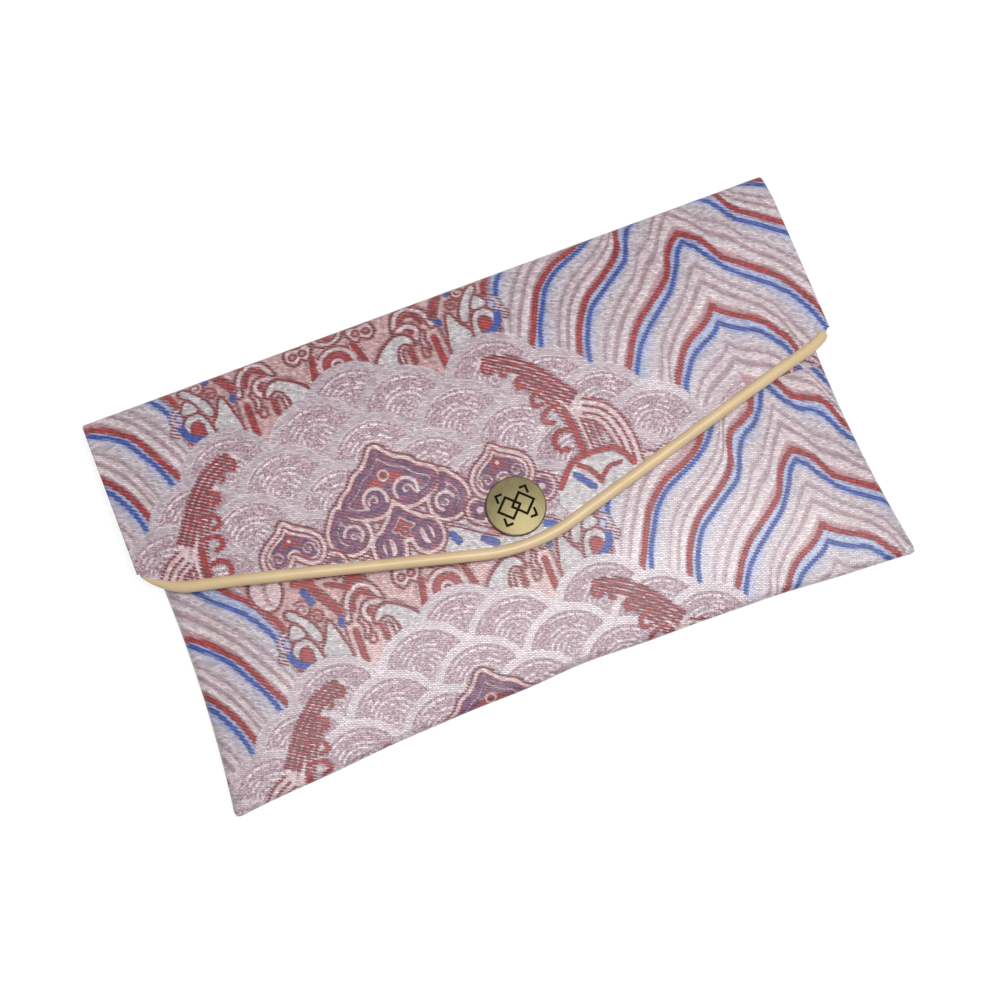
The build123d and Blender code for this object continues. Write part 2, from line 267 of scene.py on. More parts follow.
# Each crest line of the mountain runs from its foot up to the axis: red first, its blue below it
red_lines = [
    [(75, -2), (76.9, 7.4), (79, 11.2), (81.4, 14.6), (84.3, 17), (87.7, 18.7), (90.6, 20.8), (92.6, 23.2)],
    [(63.5, 7), (66.3, 14.4), (68.5, 18.4), (70.9, 22.3), (74.2, 26), (78.1, 28.9), (81.9, 31.7),
     (84.8, 34.3), (86.5, 37.4), (87.9, 40.3), (89.9, 42.7), (92.6, 44.8)],
    [(55, 17), (57.4, 24.8), (59.3, 29.5), (61.9, 33.7), (65, 37.1), (69.2, 39.9), (72.8, 42.5), (75.4, 44.8),
     (77.2, 47.6), (78.4, 51.2), (80.2, 54.2), (83.6, 55.8), (86.8, 57.8), (89, 62), (92.6, 68)],
    [(43, 20), (46.8, 30), (48.9, 34.2), (50.9, 38.4), (53.5, 43.1), (57.2, 46.7), (60.8, 49.1), (66, 51),
     (71, 54), (74.5, 59), (78, 66)],
    [(35, 34), (38, 41), (40.5, 46.2), (42.6, 50), (46, 56), (52, 61.5), (57, 67)],
]
blue_lines = [
    [(76.2, -4), (78.3, 5.4), (80.5, 9.3), (83.4, 12.7), (86.7, 14.6), (90.1, 16.3), (92.6, 18.6)],
    [(65, 4), (67.7, 12.2), (69.4, 15.8), (71.8, 19.6), (75.2, 23), (80, 26.9), (84.3, 30.4), (86.7, 33.6),
     (88.7, 36.7), (90.3, 39.6), (92.6, 42)],
    [(56.8, 13), (58.8, 21.7), (59.8, 25.4), (61.9, 30), (64.5, 33.7), (68.1, 36.3), (72.8, 39.5),
     (76.6, 42.2), (78.6, 45.3), (80, 48.4), (81.8, 51.2), (83.8, 52.8), (86.2, 54), (88.6, 56.6),
     (90.2, 59), (92.6, 64)],
    [(45.5, 18), (48.6, 28.5), (50.4, 33.7), (53, 38.4), (55.6, 42.8), (59.3, 46.2), (64, 48.5),
     (68.6, 50.6), (73.5, 54), (77, 59), (80, 66)],
    [(38.5, 32), (41.5, 40), (43.6, 46.2), (44.7, 48.8), (46.5, 51.6), (50, 55.6), (56, 60), (61.5, 66)],
]

# Fish-scale waves, in rows that overlap downwards
scale_pitch = half_repeat / 4
scale_radius = 12.6
scale_row_step = 8.8
scale_first_top = 37.4
crown_scale_top = 43.3
scale_rows = 12
scale_droop = 6.0
scale_nudge_in = 2.2
scale_nudge_up = 1.6
scale_dash_radius = 9.0
scale_kind_step = 0.37
shore_lean = 0.3
shore_level = 12.0
right_shore = 65.0
no_shore = 2 * half_repeat


def curve(points, steps=6, closed=False):
    """A smooth line through given points."""
    p = np.array(points, float)
    if closed:
        p = np.vstack([p[-1], p, p[0], p[1]])
    else:
        p = np.vstack([2 * p[0] - p[1], p, 2 * p[-1] - p[-2]])
    t = np.linspace(0, 1, steps, endpoint=False)[:, None]
    spans = []
    for a, b, c, d in zip(p, p[1:], p[2:], p[3:]):
        bend = 2 * a - 5 * b + 4 * c - d
        twist = 3 * b - a - 3 * c + d
        spans.append(0.5 * (2 * b + (c - a) * t + bend * t**2 + twist * t**3))
    return np.vstack(spans + [p[-2:-1]])


def to_line(p, line):
    """Distance of each place to a line of short straight runs."""
    least = np.full(len(p), np.inf)
    for a, b in zip(line, line[1:]):
        run = b - a
        share = np.clip(((p - a) @ run) / max(run @ run, 1e-9), 0, 1)
        least = np.minimum(least, np.hypot(*(p - a - share[:, None] * run).T))
    return least


def within(p, ring):
    """True for the places inside a closed line."""
    inside = np.zeros(len(p), bool)
    for (ax, ay), (bx, by) in zip(ring, np.roll(ring, -1, axis=0)):
        crosses = (ay > p[:, 1]) != (by > p[:, 1])
        at = ax + (p[:, 1] - ay) * (bx - ax) / (by - ay if by != ay else 1e-9)
        inside ^= crosses & (p[:, 0] < at)
    return inside


class Figure:
    """Distances, in millimetres, from each place to the nearest edge of each colour of thread."""

    def __init__(self, x, v):
        around = np.mod(x.ravel() - cloud_axis, 2 * half_repeat)
        self.p = np.stack([np.minimum(around, 2 * half_repeat - around), v.ravel()], axis=1)
        self.thread = {name: np.full(len(self.p), far) for name in threads}
        self.ground = np.full(len(self.p), far)

    def near(self, line):
        low, high = line.min(axis=0) - far - 1, line.max(axis=0) + far + 1
        return np.flatnonzero(((self.p > low) & (self.p < high)).all(axis=1))

    def lay(self, colour, where, distance):
        """Lays one colour over the others."""
        for name, field in self.thread.items():
            if name == colour:
                field[where] = np.minimum(field[where], distance)
            else:
                field[where] = np.maximum(field[where], -distance)

    def stroke(self, colour, points, width):
        line = curve(points)
        where = self.near(line)
        self.lay(colour, where, to_line(self.p[where], line) - width / 2)

    def shape(self, points, smooth=True):
        """A closed outline: the places near it and their distance, negative inside."""
        ring = curve(points, closed=True)[:-1] if smooth else np.array(points, float)
        where = self.near(ring)
        p = self.p[where]
        distance = to_line(p, np.vstack([ring, ring[:1]]))
        return where, np.where(within(p, ring), -distance, distance)

    def cut(self, fill, points, line=0.55, halo=0.0):
        """A filled shape with a stitched wine-red outline and, if asked for, a pale one outside it."""
        where, edge = self.shape(points)
        if halo:
            self.lay("pale", where, edge - line - halo)
        self.lay("wine", where, edge - line)
        self.lay(fill, where, edge)

    def corded(self, points, width, line=0.5):
        """A pale cord between two wine-red lines."""
        self.stroke("wine", points, width + 2 * line)
        self.stroke("pale", points, width)

    def discs(self, centre, *layers):
        """Round patches on one centre, each a colour and a radius, one over the other."""
        centre = np.array(centre, float)
        for colour, radius in layers:
            where = self.near(centre + radius * np.array([[-1, -1], [1, 1]]))
            self.lay(colour, where, np.hypot(*(self.p[where] - centre).T) - radius)

    def turned(self, colour, centre, radius, angle, width):
        """A line round a centre, through the places at each angle."""
        points = [centre[0] + radius * np.cos(angle), centre[1] + radius * np.sin(angle)]
        self.stroke(colour, np.stack(points, axis=1), width)

    def arc(self, colour, centre, radius, start, end, width):
        self.turned(colour, centre, radius, np.radians(np.linspace(start, end, 9)), width)

    def spiral(self, colour, centre, radius, start, turns, width):
        share = np.linspace(0, 1, 14)
        angle = math.radians(start) + share * turns * math.tau
        self.turned(colour, centre, radius * (1 - curl_in_share * share), angle, width)


def beside(points, offset):
    """A line beside another, offset to its left."""
    line = curve(points, steps=3)
    along = np.gradient(line, axis=0)
    along /= np.linalg.norm(along, axis=1, keepdims=True)
    return line + offset * np.stack([-along[:, 1], along[:, 0]], axis=1)


def mountain(figure):
    """Red and blue crest lines of the standing water, and the share of the way between them."""
    x, v = figure.p.T
    every = slice(None)
    blues, reds = [], []
    for colour, lines, half, heights in (("blue", blue_lines, blue_half_width, blues),
                                         ("red", red_lines, red_half_width, reds)):
        for points in lines:
            line = curve(points)
            slope = np.gradient(line[:, 1], line[:, 0])
            height = np.interp(x, line[:, 0], line[:, 1])
            height -= foot_slope * np.clip(line[0, 0] - x, 0, None)
            height += axis_slope * np.clip(x - line[-1, 0], 0, None)
            lean = np.cos(np.arctan(np.interp(x, line[:, 0], slope)))
            figure.lay(colour, every, np.minimum(np.abs(v - height) * lean - half, far))
            heights.append(height)
    band = np.clip((v - blues[0]) / lowest_band + 1, 0, 1)
    for inner, outer in zip(reds, blues[1:] + [reds[-1] + highest_band]):
        share = (v - inner) / np.maximum(outer - inner, least_band)
        band = np.where(v > inner, np.clip(share, 0, 1), band)
    return band


def foam(figure):
    """The band of foam behind the waves: rose ground, white horns, red curls and drips."""
    ground = [(-30, 30), (30, 28), (41, 33), (42.5, 39), (40.5, 44.5), (42, 48), (46, 57), (50, 66),
              (-30, 66)]
    where, edge = figure.shape(ground, smooth=False)
    figure.lay("rose", where, edge)
    figure.ground[where] = edge
    # The gate on the axis, its posts and its knots
    figure.discs((0, 43.2), ("red", 5.5), ("pale", 5.0), ("red", 3.9), ("ember", 3.6), ("pale", 1.8),
                 ("red", 0.9))
    figure.stroke("pale", [(5.4, 47.6), (6.2, 44), (7.0, 39.6)], 2.6)
    figure.stroke("red", [(5.4, 47.4), (6.2, 44), (7.0, 39.8)], 1.6)
    figure.cut("pale", [(4.9, 50.4), (6.4, 47.6), (8, 48.4), (9.8, 47.2), (11.6, 49), (10.8, 52), (7.8, 51.4),
                        (5.6, 52)])
    for loop in ((7.1, 49.8), (9.8, 49.6)):
        figure.discs(loop, ("red", 1.15), ("rose", 0.55))
    figure.corded([(0, 49.6), (2.6, 50.6), (3.4, 53), (1.6, 55.4), (0, 55.8)], 1.0)
    figure.stroke("ember", [(0, 51.4), (1.2, 52.6), (0.6, 54)], 1.5)
    # The arch over the large horn
    arch = [(25.6, 44.6), (24.6, 48.4), (22.6, 50.8), (20.4, 51.6), (18, 50.6), (16.6, 48), (16.2, 45.8)]
    figure.cut("red", [(18.2, 52.4), (20.4, 56), (23.2, 52.6), (20.8, 51.8)])
    figure.corded(arch, 1.3)
    figure.stroke("red", [(23.4, 46.2), (22.4, 48.6), (20.6, 49.6), (18.8, 48.8), (17.6, 46.8)], 1.1)
    figure.stroke("rose", [(22.6, 45.4), (20.6, 47.8), (18.8, 46.6)], 0.9)
    figure.corded([(22.6, 43.4), (21.8, 41.2), (22.4, 38.8)], 0.9)
    # The large white horn with its curl
    figure.corded([(20.6, 42.4), (21.4, 44.6), (20.2, 46.4), (18, 46.5), (16.4, 45.6)], 1.3)
    horn = [(7.8, 36), (8.6, 38.6), (10.4, 41.2), (12.8, 43.3), (15.6, 44.8), (17.8, 44.4), (19.2, 43),
            (19.4, 41.2), (18.2, 41.8), (16.8, 42.2), (15.2, 40.6), (14.2, 38.4), (14, 35.5)]
    figure.cut("silver", horn, 0.8, 0.45)
    figure.corded([(15.2, 36), (15.6, 40), (16.8, 41.4), (18.0, 40.2), (18.1, 36.4)], 0.7, 0.45)
    figure.discs((20.0, 44.6), ("red", 0.8))
    figure.stroke("red", [(24.8, 41), (24.8, 37), (24.9, 32.8)], 1.6)
    figure.stroke("red", [(18.5, 40.5), (18.0, 36)], 1.0)
    figure.stroke("red", [(20.7, 36.6), (20.7, 39), (22.2, 39), (22.2, 36.6), (20.7, 36.6)], 0.55)
    figure.stroke("blue", [(26.6, 46.6), (27.4, 44)], 1.7)
    # Red spray above, between pale lines
    figure.corded([(26.4, 46.8), (28.6, 50.6), (31.6, 55.6)], 1.6, 0.4)
    figure.stroke("red", [(26.6, 47), (28.6, 50.6), (31.4, 55.4)], 1.5)
    figure.stroke("ember", [(30.8, 56.4), (32.6, 56.4), (35, 57.4)], 1.7)
    figure.stroke("red", [(22.6, 51.8), (25, 53.2), (27.4, 54.4)], 1.3)
    figure.corded([(24.2, 55.6), (26, 57.2), (28.6, 57.4), (30, 59.4)], 0.9)
    figure.stroke("blue", [(33.4, 54.8), (32.2, 51.6)], 1.7)
    figure.spiral("red", (35.2, 50.6), 2.4, 60, 1.6, 0.6)
    figure.spiral("pale", (35.0, 50.8), 1.7, 60, 1.3, 0.6)
    drop = [(38, 58.6), (39.4, 54.6), (42, 53.2), (44.8, 55.2), (45.6, 59), (43.6, 62.6), (40, 62.4)]
    figure.cut("pale", drop, 0.6)
    figure.stroke("rose", [(42, 54.8), (42.2, 57.4), (41.6, 61)], 1.0)
    # The second and third waves
    wave = [(28, 35), (28.6, 41), (29.4, 44.2), (30.2, 46), (31.3, 44), (32.4, 41.4), (34.3, 38.8), (35, 35)]
    figure.cut("silver", wave, 0.6, 0.4)
    figure.stroke("red", [(26.9, 43.4), (27.1, 39), (27.3, 34)], 0.5)
    plume = [(32.9, 42.4), (34.6, 42.2), (36.4, 46), (39.4, 50.6), (38.2, 51.4), (35.2, 48.4), (33.4, 45.4)]
    figure.cut("silver", plume, 0.55)
    figure.spiral("red", (32.2, 47.8), 2.0, 20, 1.4, 0.6)
    figure.stroke("red", [(40.9, 48), (41.8, 50.4), (43.2, 52.6)], 1.3)
    # The ring of foam where the water stripes start
    ring = [(34.8, 36), (34.9, 40.2), (36.2, 43.2), (38.4, 44.2), (40.6, 42.6), (41.2, 40), (40, 36)]
    figure.cut("silver", ring, 0.6, 0.4)
    figure.cut("ember", [(37.2, 36), (36.6, 39.6), (37.4, 41.6), (39, 41.2), (39.6, 39), (38.6, 37.6)], 0.4)
    figure.stroke("blue", [(42, 41.8), (41.2, 39.2), (39.6, 37.4), (37.8, 36.8)], 1.9)
    figure.cut("silver", [(36.4, 44.8), (38.4, 48.2), (40.6, 45.6), (39.4, 44.4)], 0.5)
    figure.corded([(40.8, 46.6), (42.6, 45.8), (43.2, 43.6), (42.2, 42.6)], 0.8, 0.4)
    figure.corded([(43.4, 42.2), (44.2, 40.8), (43.4, 39.6)], 0.6, 0.35)


def scale_centres():
    """Centres of the fish scales, down from the crown scale. The upper rows end before the mountain."""
    places = [(0.0, crown_scale_top - scale_radius)]
    for row in range(scale_rows):
        last = 1.5 + 0.5 * row if row < 3 else 4.5
        for step in range(-1, 5):
            across = step + (0.5 if row % 2 == 0 else 0.0)
            if across <= last:
                sag = scale_droop * np.clip(across / 2 - 1, 0, 1) ** 2
                nudge = np.clip(1 - abs(across - 3), 0, 1)
                top = scale_first_top - row * scale_row_step - sag + scale_nudge_up * nudge
                places.append((across * scale_pitch - scale_nudge_in * nudge, top - scale_radius))
    return places


def scales(figure, shore):
    """Fish-scale waves in front of the foam, as far as a slanted shore: what shows of each, in from its
    rim and along it."""
    x, v = figure.p.T
    rim = np.full(len(x), -1.0)
    along = np.zeros(len(x))
    kind = np.zeros(len(x))
    sea = np.full(len(x), far)
    beyond_shore = x - shore.ravel() - shore_lean * (v - shore_level)
    for order, (cx, cy) in enumerate(scale_centres()):
        reach = np.maximum(np.hypot(x - cx, v - cy), scale_radius + beyond_shore)
        inside = reach < scale_radius
        rim[inside] = (scale_radius - reach)[inside]
        along[inside] = (np.arctan2(x - cx, v - cy) * scale_dash_radius)[inside]
        kind[inside] = (scale_kind_step * order) % 1
        sea = np.minimum(sea, reach - scale_radius)
    for field in [figure.ground, *figure.thread.values()]:
        np.maximum(field, -sea, out=field)
    return sea, rim, along, kind


def bubbles(figure):
    """Foam bubbles and curls where one figure ends and the next begins."""
    for place in (4, 11, 18):
        figure.spiral("pale", (place, 58.4), 2.4, 40, 1.5, 0.7)
    for place in range(0, 36, 5):
        for layer in (("wine", 2.9), ("pale", 2.5), ("rose", 1.5)):
            figure.discs((place, figure_foot + half_drop), layer)
            figure.discs((half_repeat - place, figure_foot), layer)


def crest(figure):
    """The red crest that leaps from the waves, its hooks, its fan and the boat-like roll below it."""
    upper = [(33.6, 29.3), (37.6, 28.3), (41.2, 26), (44.5, 22.6), (47.4, 18.6), (50.8, 13.6)]
    lower = [(40.6, 23.4), (43.6, 19.2), (46.2, 15), (48.4, 9.6), (49.2, 5), (49.3, 0)]
    figure.stroke("pale", lower, 4.2)
    figure.stroke("pale", upper, 4.2)
    for offset, width in ((-1.5, 1.0), (0.0, 1.1)):
        figure.stroke("wine", beside(lower, offset), width)
    for offset in (-1.5, 0.0, 1.5):
        figure.stroke("wine", beside(upper, offset), 1.15)
    figure.stroke("red", [(35.4, 29.8), (33.4, 29.6), (32.6, 27.8), (33.8, 26.6), (34.8, 27.6)], 1.0)
    figure.stroke("red", [(37.4, 26.8), (36.4, 25.4), (37.6, 24.6)], 0.9)
    figure.stroke("red", [(41.6, 23.4), (39.6, 22.4), (39.4, 20.8), (40.8, 20.4)], 1.3)
    hook = [(2.7, 1.5), (0.9, 1.5), (-0.9, 0.5), (-1.0, -1.0), (0.5, -1.5)]
    hook_size = 1.25
    for hx, hy in ((42.6, 16.4), (43.6, 11.2)):
        figure.stroke("red", [(hx + hook_size * a, hy + hook_size * b) for a, b in hook], 1.3)
    figure.stroke("red", [(46.6, 6.4), (44, 6.6), (42.5, 4.5), (43.2, 2.1), (45.1, 1.7)], 1.3)
    figure.stroke("red", [(47.6, 11), (48.3, 6), (48.4, -0.4)], 1.9)
    for bar in (50.8, 52.2, 53.6):
        figure.stroke("red", [(bar, 8.4 - 0.6 * (bar - 50.8)), (bar + 0.3, -0.2)], 0.7)
    fan = [(53.4, 12.4), (57.2, 10.3), (60.2, 6), (61.7, -0.8), (61.4, -7)]
    figure.stroke("pale", beside(fan, -2.6), 4.6)
    for offset in (0.0, -1.9, -3.8, -5.6):
        figure.stroke("red", beside(fan, offset), 0.7)
    hull = [(38, -10), (40.6, -5.6), (43.8, -2.8), (47.4, -1.5), (54.6, -1.5), (58.4, -5), (56, -10),
            (42, -14)]
    deck = [(39.6, -6.6), (43.6, -2.6), (46.6, -1.2), (54.2, -1.4), (57.4, -3.8), (59, -7)]
    figure.lay("silver", *figure.shape(hull))
    figure.stroke("red", deck, 1.6)
    figure.stroke("red", [(46, -3), (48.4, -5.4), (49.8, -8.6)], 1.4)
    figure.stroke("red", [(49.8, -8.4), (52.6, -6), (56, -5.8)], 1.1)
    figure.stroke("blue", [(44.4, -5), (47.4, -9.2)], 1.8)


def clouds(figure):
    """The large ruyi cloud on the axis and the small one beside it."""
    half = [(2.1, 16.6), (4.0, 14.8), (6.5, 13.5), (8.5, 11.2), (11.3, 9.3), (12.2, 7.2), (10.7, 5.1),
            (8.1, 4.0), (5.2, 3.2), (2.7, 3.5), (1.1, 5.0)]
    head = [(0, 18.9)] + half + [(0, 6.6)] + [(-a, b) for a, b in reversed(half)]
    lobe = [(13.4, 7.6), (15.3, 5.6), (16.9, 3.2), (17.3, 0.6), (16, -2), (13.3, -3.3), (10.5, -2.9),
            (8.8, -0.8), (8.8, 1.7), (10.2, 3.4), (11.8, 4.2)]
    neck = [(0, 3.4), (2.2, 0.8), (4.6, -1.6), (3.4, -4), (0, -4.4), (-3.4, -4), (-4.6, -1.6), (-2.2, 0.8)]
    loops = [(1.8, -5.6), (2.4, -2.9), (4.8, -1.8), (7.2, -2.9), (8.1, -5.6), (7.2, -8.3), (4.9, -9.3),
             (2.6, -8.3)]
    forms = [figure.shape(points) for points in (head, lobe, neck, loops)]
    for colour, grow in (("wine", 1.8), ("pale", 1.4), ("wine", 0.3)):
        for where, edge in forms:
            figure.lay(colour, where, edge - grow)
            figure.ground[where] = np.minimum(figure.ground[where], edge - grow)
    for order, (where, edge) in enumerate(forms):
        figure.lay("violet", where, edge)
        figure.lay("pale", where, edge + 1.4)
        if order < 2:
            figure.lay("violet", where, edge + 1.9)
        if order < 3:
            figure.lay("ember", where, edge + (3.0, 2.8, 1.9)[order])
    figure.discs((4.0, 6.9), ("violet", 3.4))
    figure.arc("pale", (4.0, 6.9), 2.9, 205, -35, 1.0)
    figure.spiral("pale", (4.2, 6.7), 1.5, -20, 0.9, 0.7)
    figure.discs((12.0, 0.6), ("violet", 2.6))
    figure.arc("pale", (12.0, 0.6), 2.3, 240, 10, 0.95)
    figure.spiral("pale", (12.0, 0.5), 1.2, 180, 0.9, 0.6)
    figure.stroke("violet", [(5, -3.6), (5.4, -7)], 1.0)
    figure.discs((0, 12.0), ("pale", 1.6), ("red", 0.9))
    figure.discs((0, -3.0), ("pale", 1.5), ("ember", 1.1), ("pale", 0.4))
    # The small cloud, with a curl to each side below it
    small = 27.3
    for side in (-1, 1):
        figure.discs((small + 8.2 * side, -4.6), ("wine", 4.0), ("pale", 3.5), ("wine", 2.6), ("violet", 2.2),
                     ("pale", 0.9))
    half = [(1.8, 7.6), (3.8, 6.4), (5.6, 5.2), (7.3, 3), (7.4, 0.2), (5.8, -2), (3.4, -2), (1.4, -0.4)]
    outline = [(small, 9.4)] + [(small + a, b) for a, b in half] + [(small, 1.0)]
    outline += [(small - a, b) for a, b in reversed(half)]
    where, edge = figure.shape(outline)
    figure.ground[where] = np.minimum(figure.ground[where], edge - 1.1)
    for colour, grow in (("wine", 1.1), ("pale", 0.7), ("wine", -0.4), ("pale", -0.8), ("violet", -1.6),
                         ("ember", -2.9)):
        figure.lay(colour, where, edge - grow)
    for side in (-1, 1):
        figure.discs((small + 3.9 * side, 1.5), ("violet", 2.2))
        figure.spiral("pale", (small + 3.9 * side, 1.5), 1.8, 90 - 120 * side, 1.3 * side, 0.55)
    figure.discs((small, 4.9), ("red", 1.4), ("pale", 0.6))


def lower_foam(figure):
    """The next band of foam, which shows below the clouds at the flap's tip."""
    patch = [(8.6, -7.4), (12, -6.4), (16, -9.5), (21, -12.4), (27, -14), (34, -12.5), (36, -16), (30, -20),
             (8, -20)]
    figure.cut("silver", patch, 0.5)
    for dab in ([(10.4, -7.8), (11.4, -10)], [(17.4, -11.6), (19.8, -13.6)], [(33, -13.6), (35, -14.4)]):
        figure.stroke("blue", dab, 1.9)
    figure.stroke("red", [(20.4, -3.4), (18.2, -6.2), (19.4, -9.4), (22.4, -11.6)], 1.0)
    figure.stroke("violet", [(21.6, -4), (20, -6.8), (21.4, -9.2), (24, -10.6)], 1.2)
    figure.stroke("red", [(22.8, -5), (22, -7.4), (24, -9.4)], 0.7)


def weave(piece, x, v, shore):
    """Works out the figure at each point of a piece of the brocade and keeps it with the mesh."""
    turn = np.maximum(np.floor((v - figure_foot) / half_drop), 0)
    figure = Figure(x + half_repeat * turn, v - half_drop * turn)
    band = mountain(figure)
    foam(figure)
    sea, rim, along, kind = scales(figure, shore)
    bubbles(figure)
    lower_foam(figure)
    crest(figure)
    clouds(figure)
    kept = {"band": band, "sea": sea, "rim": rim, "along": along, "kind": kind, "ground": figure.ground}
    for name, field in (figure.thread | kept).items():
        store(piece, name, field)
    store_strip(piece, x, v)


# Materials

# Settings of a mix of two colours, and of a wave texture, which turns 20 radians per unit of its scale
as_colour = {"data_type": "RGBA", "out": 2}
wave_turn = 20


def paint(hex_colour):
    """An sRGB hex colour as linear RGBA."""
    channels = [int(hex_colour[i:i + 2], 16) / 255 for i in (1, 3, 5)]
    return [c / 12.92 if c <= 0.04045 else ((c + 0.055) / 1.055) ** 2.4 for c in channels] + [1.0]


def set_sockets(tree, node, values):
    """Sets or links a node's own sockets."""
    for key, value in values.items():
        if isinstance(value, bpy.types.NodeSocket):
            tree.links.new(value, node.inputs[key])
        else:
            node.inputs[key].default_value = value


def add(tree, kind, inputs=None, out=0, **settings):
    """Adds a node with its settings, values and links, and gives one of its outputs."""
    made = tree.nodes.new(kind)
    for name, value in settings.items():
        setattr(made, name, value)
    set_sockets(tree, made, inputs or {})
    return made.outputs[out]


def start_material(name):
    """A new material with its tree and its surface shader."""
    material = bpy.data.materials.new(name)
    material.use_nodes = True
    tree = material.node_tree
    return material, tree, tree.nodes["Principled BSDF"]


def silk_brocade():
    """Jacquard-woven silk brocade: short floats of bright thread over a speckled lilac ground. The floats
    catch the light in one direction, their edges step from pick to pick, and the figure stands proud.
    The strip's places are millimetres, so a scale of 1 makes every size below a real one."""
    material, tree, shader = start_material("silk_brocade")
    strip = add(tree, "ShaderNodeAttribute", attribute_name="strip", out="Vector")
    field = {name: add(tree, "ShaderNodeAttribute", attribute_name=name, out="Fac")
             for name in threads + ["band", "sea", "rim", "along", "kind", "ground"]}
    black_and_white = {"Color1": (0, 0, 0, 1), "Color2": (1, 1, 1, 1), "Mortar": (0, 0, 0, 1), "Scale": 1.0}
    # Floats 1.1 mm long on picks 0.46 mm apart, about twice their real size so that they show
    slant = add(tree, "ShaderNodeMapping", {"Vector": strip, "Rotation": (0, 0, math.radians(24))})
    floats = add(tree, "ShaderNodeTexBrick", {
        "Vector": slant, **black_and_white, "Mortar Size": 0.07, "Mortar Smooth": 0.8,
        "Brick Width": 1.1, "Row Height": 0.46})
    fleck = add(tree, "ShaderNodeTexNoise", {
        "Vector": strip, "Scale": 1.15, "Detail": 3.0, "Roughness": 0.65})
    cloud = add(tree, "ShaderNodeTexNoise", {"Vector": strip, "Scale": 0.09, "Detail": 2.0})
    # The stepped edge of a woven figure, and the broken line of its outlines
    half_stitch = 0.55
    stitch = add(tree, "ShaderNodeVectorMath", {0: strip, 1: (0.75, 1.1, 0)}, operation="DOT_PRODUCT",
                 out="Value")
    zigzag = add(tree, "ShaderNodeMath", {0: stitch, 1: half_stitch}, operation="PINGPONG")
    dashed = add(tree, "ShaderNodeMath", {0: zigzag, 1: 1.25, 2: -0.33}, operation="MULTIPLY_ADD")
    tooth = add(tree, "ShaderNodeMath", {0: zigzag, 1: 0.6, 2: -0.15}, operation="MULTIPLY_ADD")
    # Water between the crest lines
    water = tree.nodes.new("ShaderNodeValToRGB")
    tree.links.new(field["band"], water.inputs[0])
    bands = [(0.0, "#B1858C"), (0.13, "#B78F96"), (0.18, "#D6C6CA"), (0.30, "#CDBCC1"), (0.35, "#9E838B"),
             (0.42, "#AD9198"), (0.47, "#D0C0C5"), (0.57, "#C5B4BA"), (0.61, "#9F8892"), (0.67, "#B29EA6"),
             (0.72, "#C6B9C0"), (0.86, "#BCB1BB"), (0.93, "#A6ABCC"), (1.0, "#A9AFD0")]
    ramp = water.color_ramp
    while len(ramp.elements) < len(bands):
        ramp.elements.new(0.5)
    for element, (place, colour) in zip(ramp.elements, bands):
        element.position = place
        element.color = paint(colour)
    # Scales: a smooth rim, then a speckled inside with rows of pale dashes 2.4 mm long, 1.35 mm apart
    dash_row = 1.35
    spread = add(tree, "ShaderNodeCombineXYZ", {"X": field["along"], "Y": field["rim"], "Z": field["kind"]})
    dashes = add(tree, "ShaderNodeTexBrick", {
        "Vector": spread, **black_and_white, "Mortar Size": 0.2, "Mortar Smooth": 0.3,
        "Brick Width": 2.4, "Row Height": dash_row})
    middle = add(tree, "ShaderNodeMath", {0: field["rim"], 1: dash_row / 2}, operation="PINGPONG")
    middle = add(tree, "ShaderNodeMapRange", {"Value": middle, "From Min": 0.3, "From Max": 0.5})
    dash = add(tree, "ShaderNodeMapRange", {"Value": dashes, "From Min": 0.35, "From Max": 0.6})
    dash = add(tree, "ShaderNodeMath", {0: dash, 1: middle}, operation="MULTIPLY")
    speck = add(tree, "ShaderNodeTexNoise", {
        "Vector": strip, "Scale": 1.7, "Detail": 2.0, "Roughness": 0.6})
    speck = add(tree, "ShaderNodeMapRange", {"Value": speck, "From Min": 0.38, "From Max": 0.62})
    in_rim = add(tree, "ShaderNodeMapRange", {"Value": field["rim"], "From Min": 2.5, "From Max": 2.2})
    edge_row = add(tree, "ShaderNodeMapRange", {"Value": field["rim"], "From Min": 0.5, "From Max": 0.3})
    scale = paint("#866878")
    for mask, dye in ((speck, "#CBAFB6"), (dash, "#DDD0D4"), (in_rim, "#BCABB2"), (edge_row, "#CCBEC4")):
        scale = add(tree, "ShaderNodeMix", {0: mask, 6: scale, 7: paint(dye)}, **as_colour)
    in_sea = add(tree, "ShaderNodeMapRange", {"Value": field["sea"], "From Min": 0.1, "From Max": -0.1})
    colour = add(tree, "ShaderNodeMix", {0: in_sea, 6: water.outputs[0], 7: scale}, **as_colour)
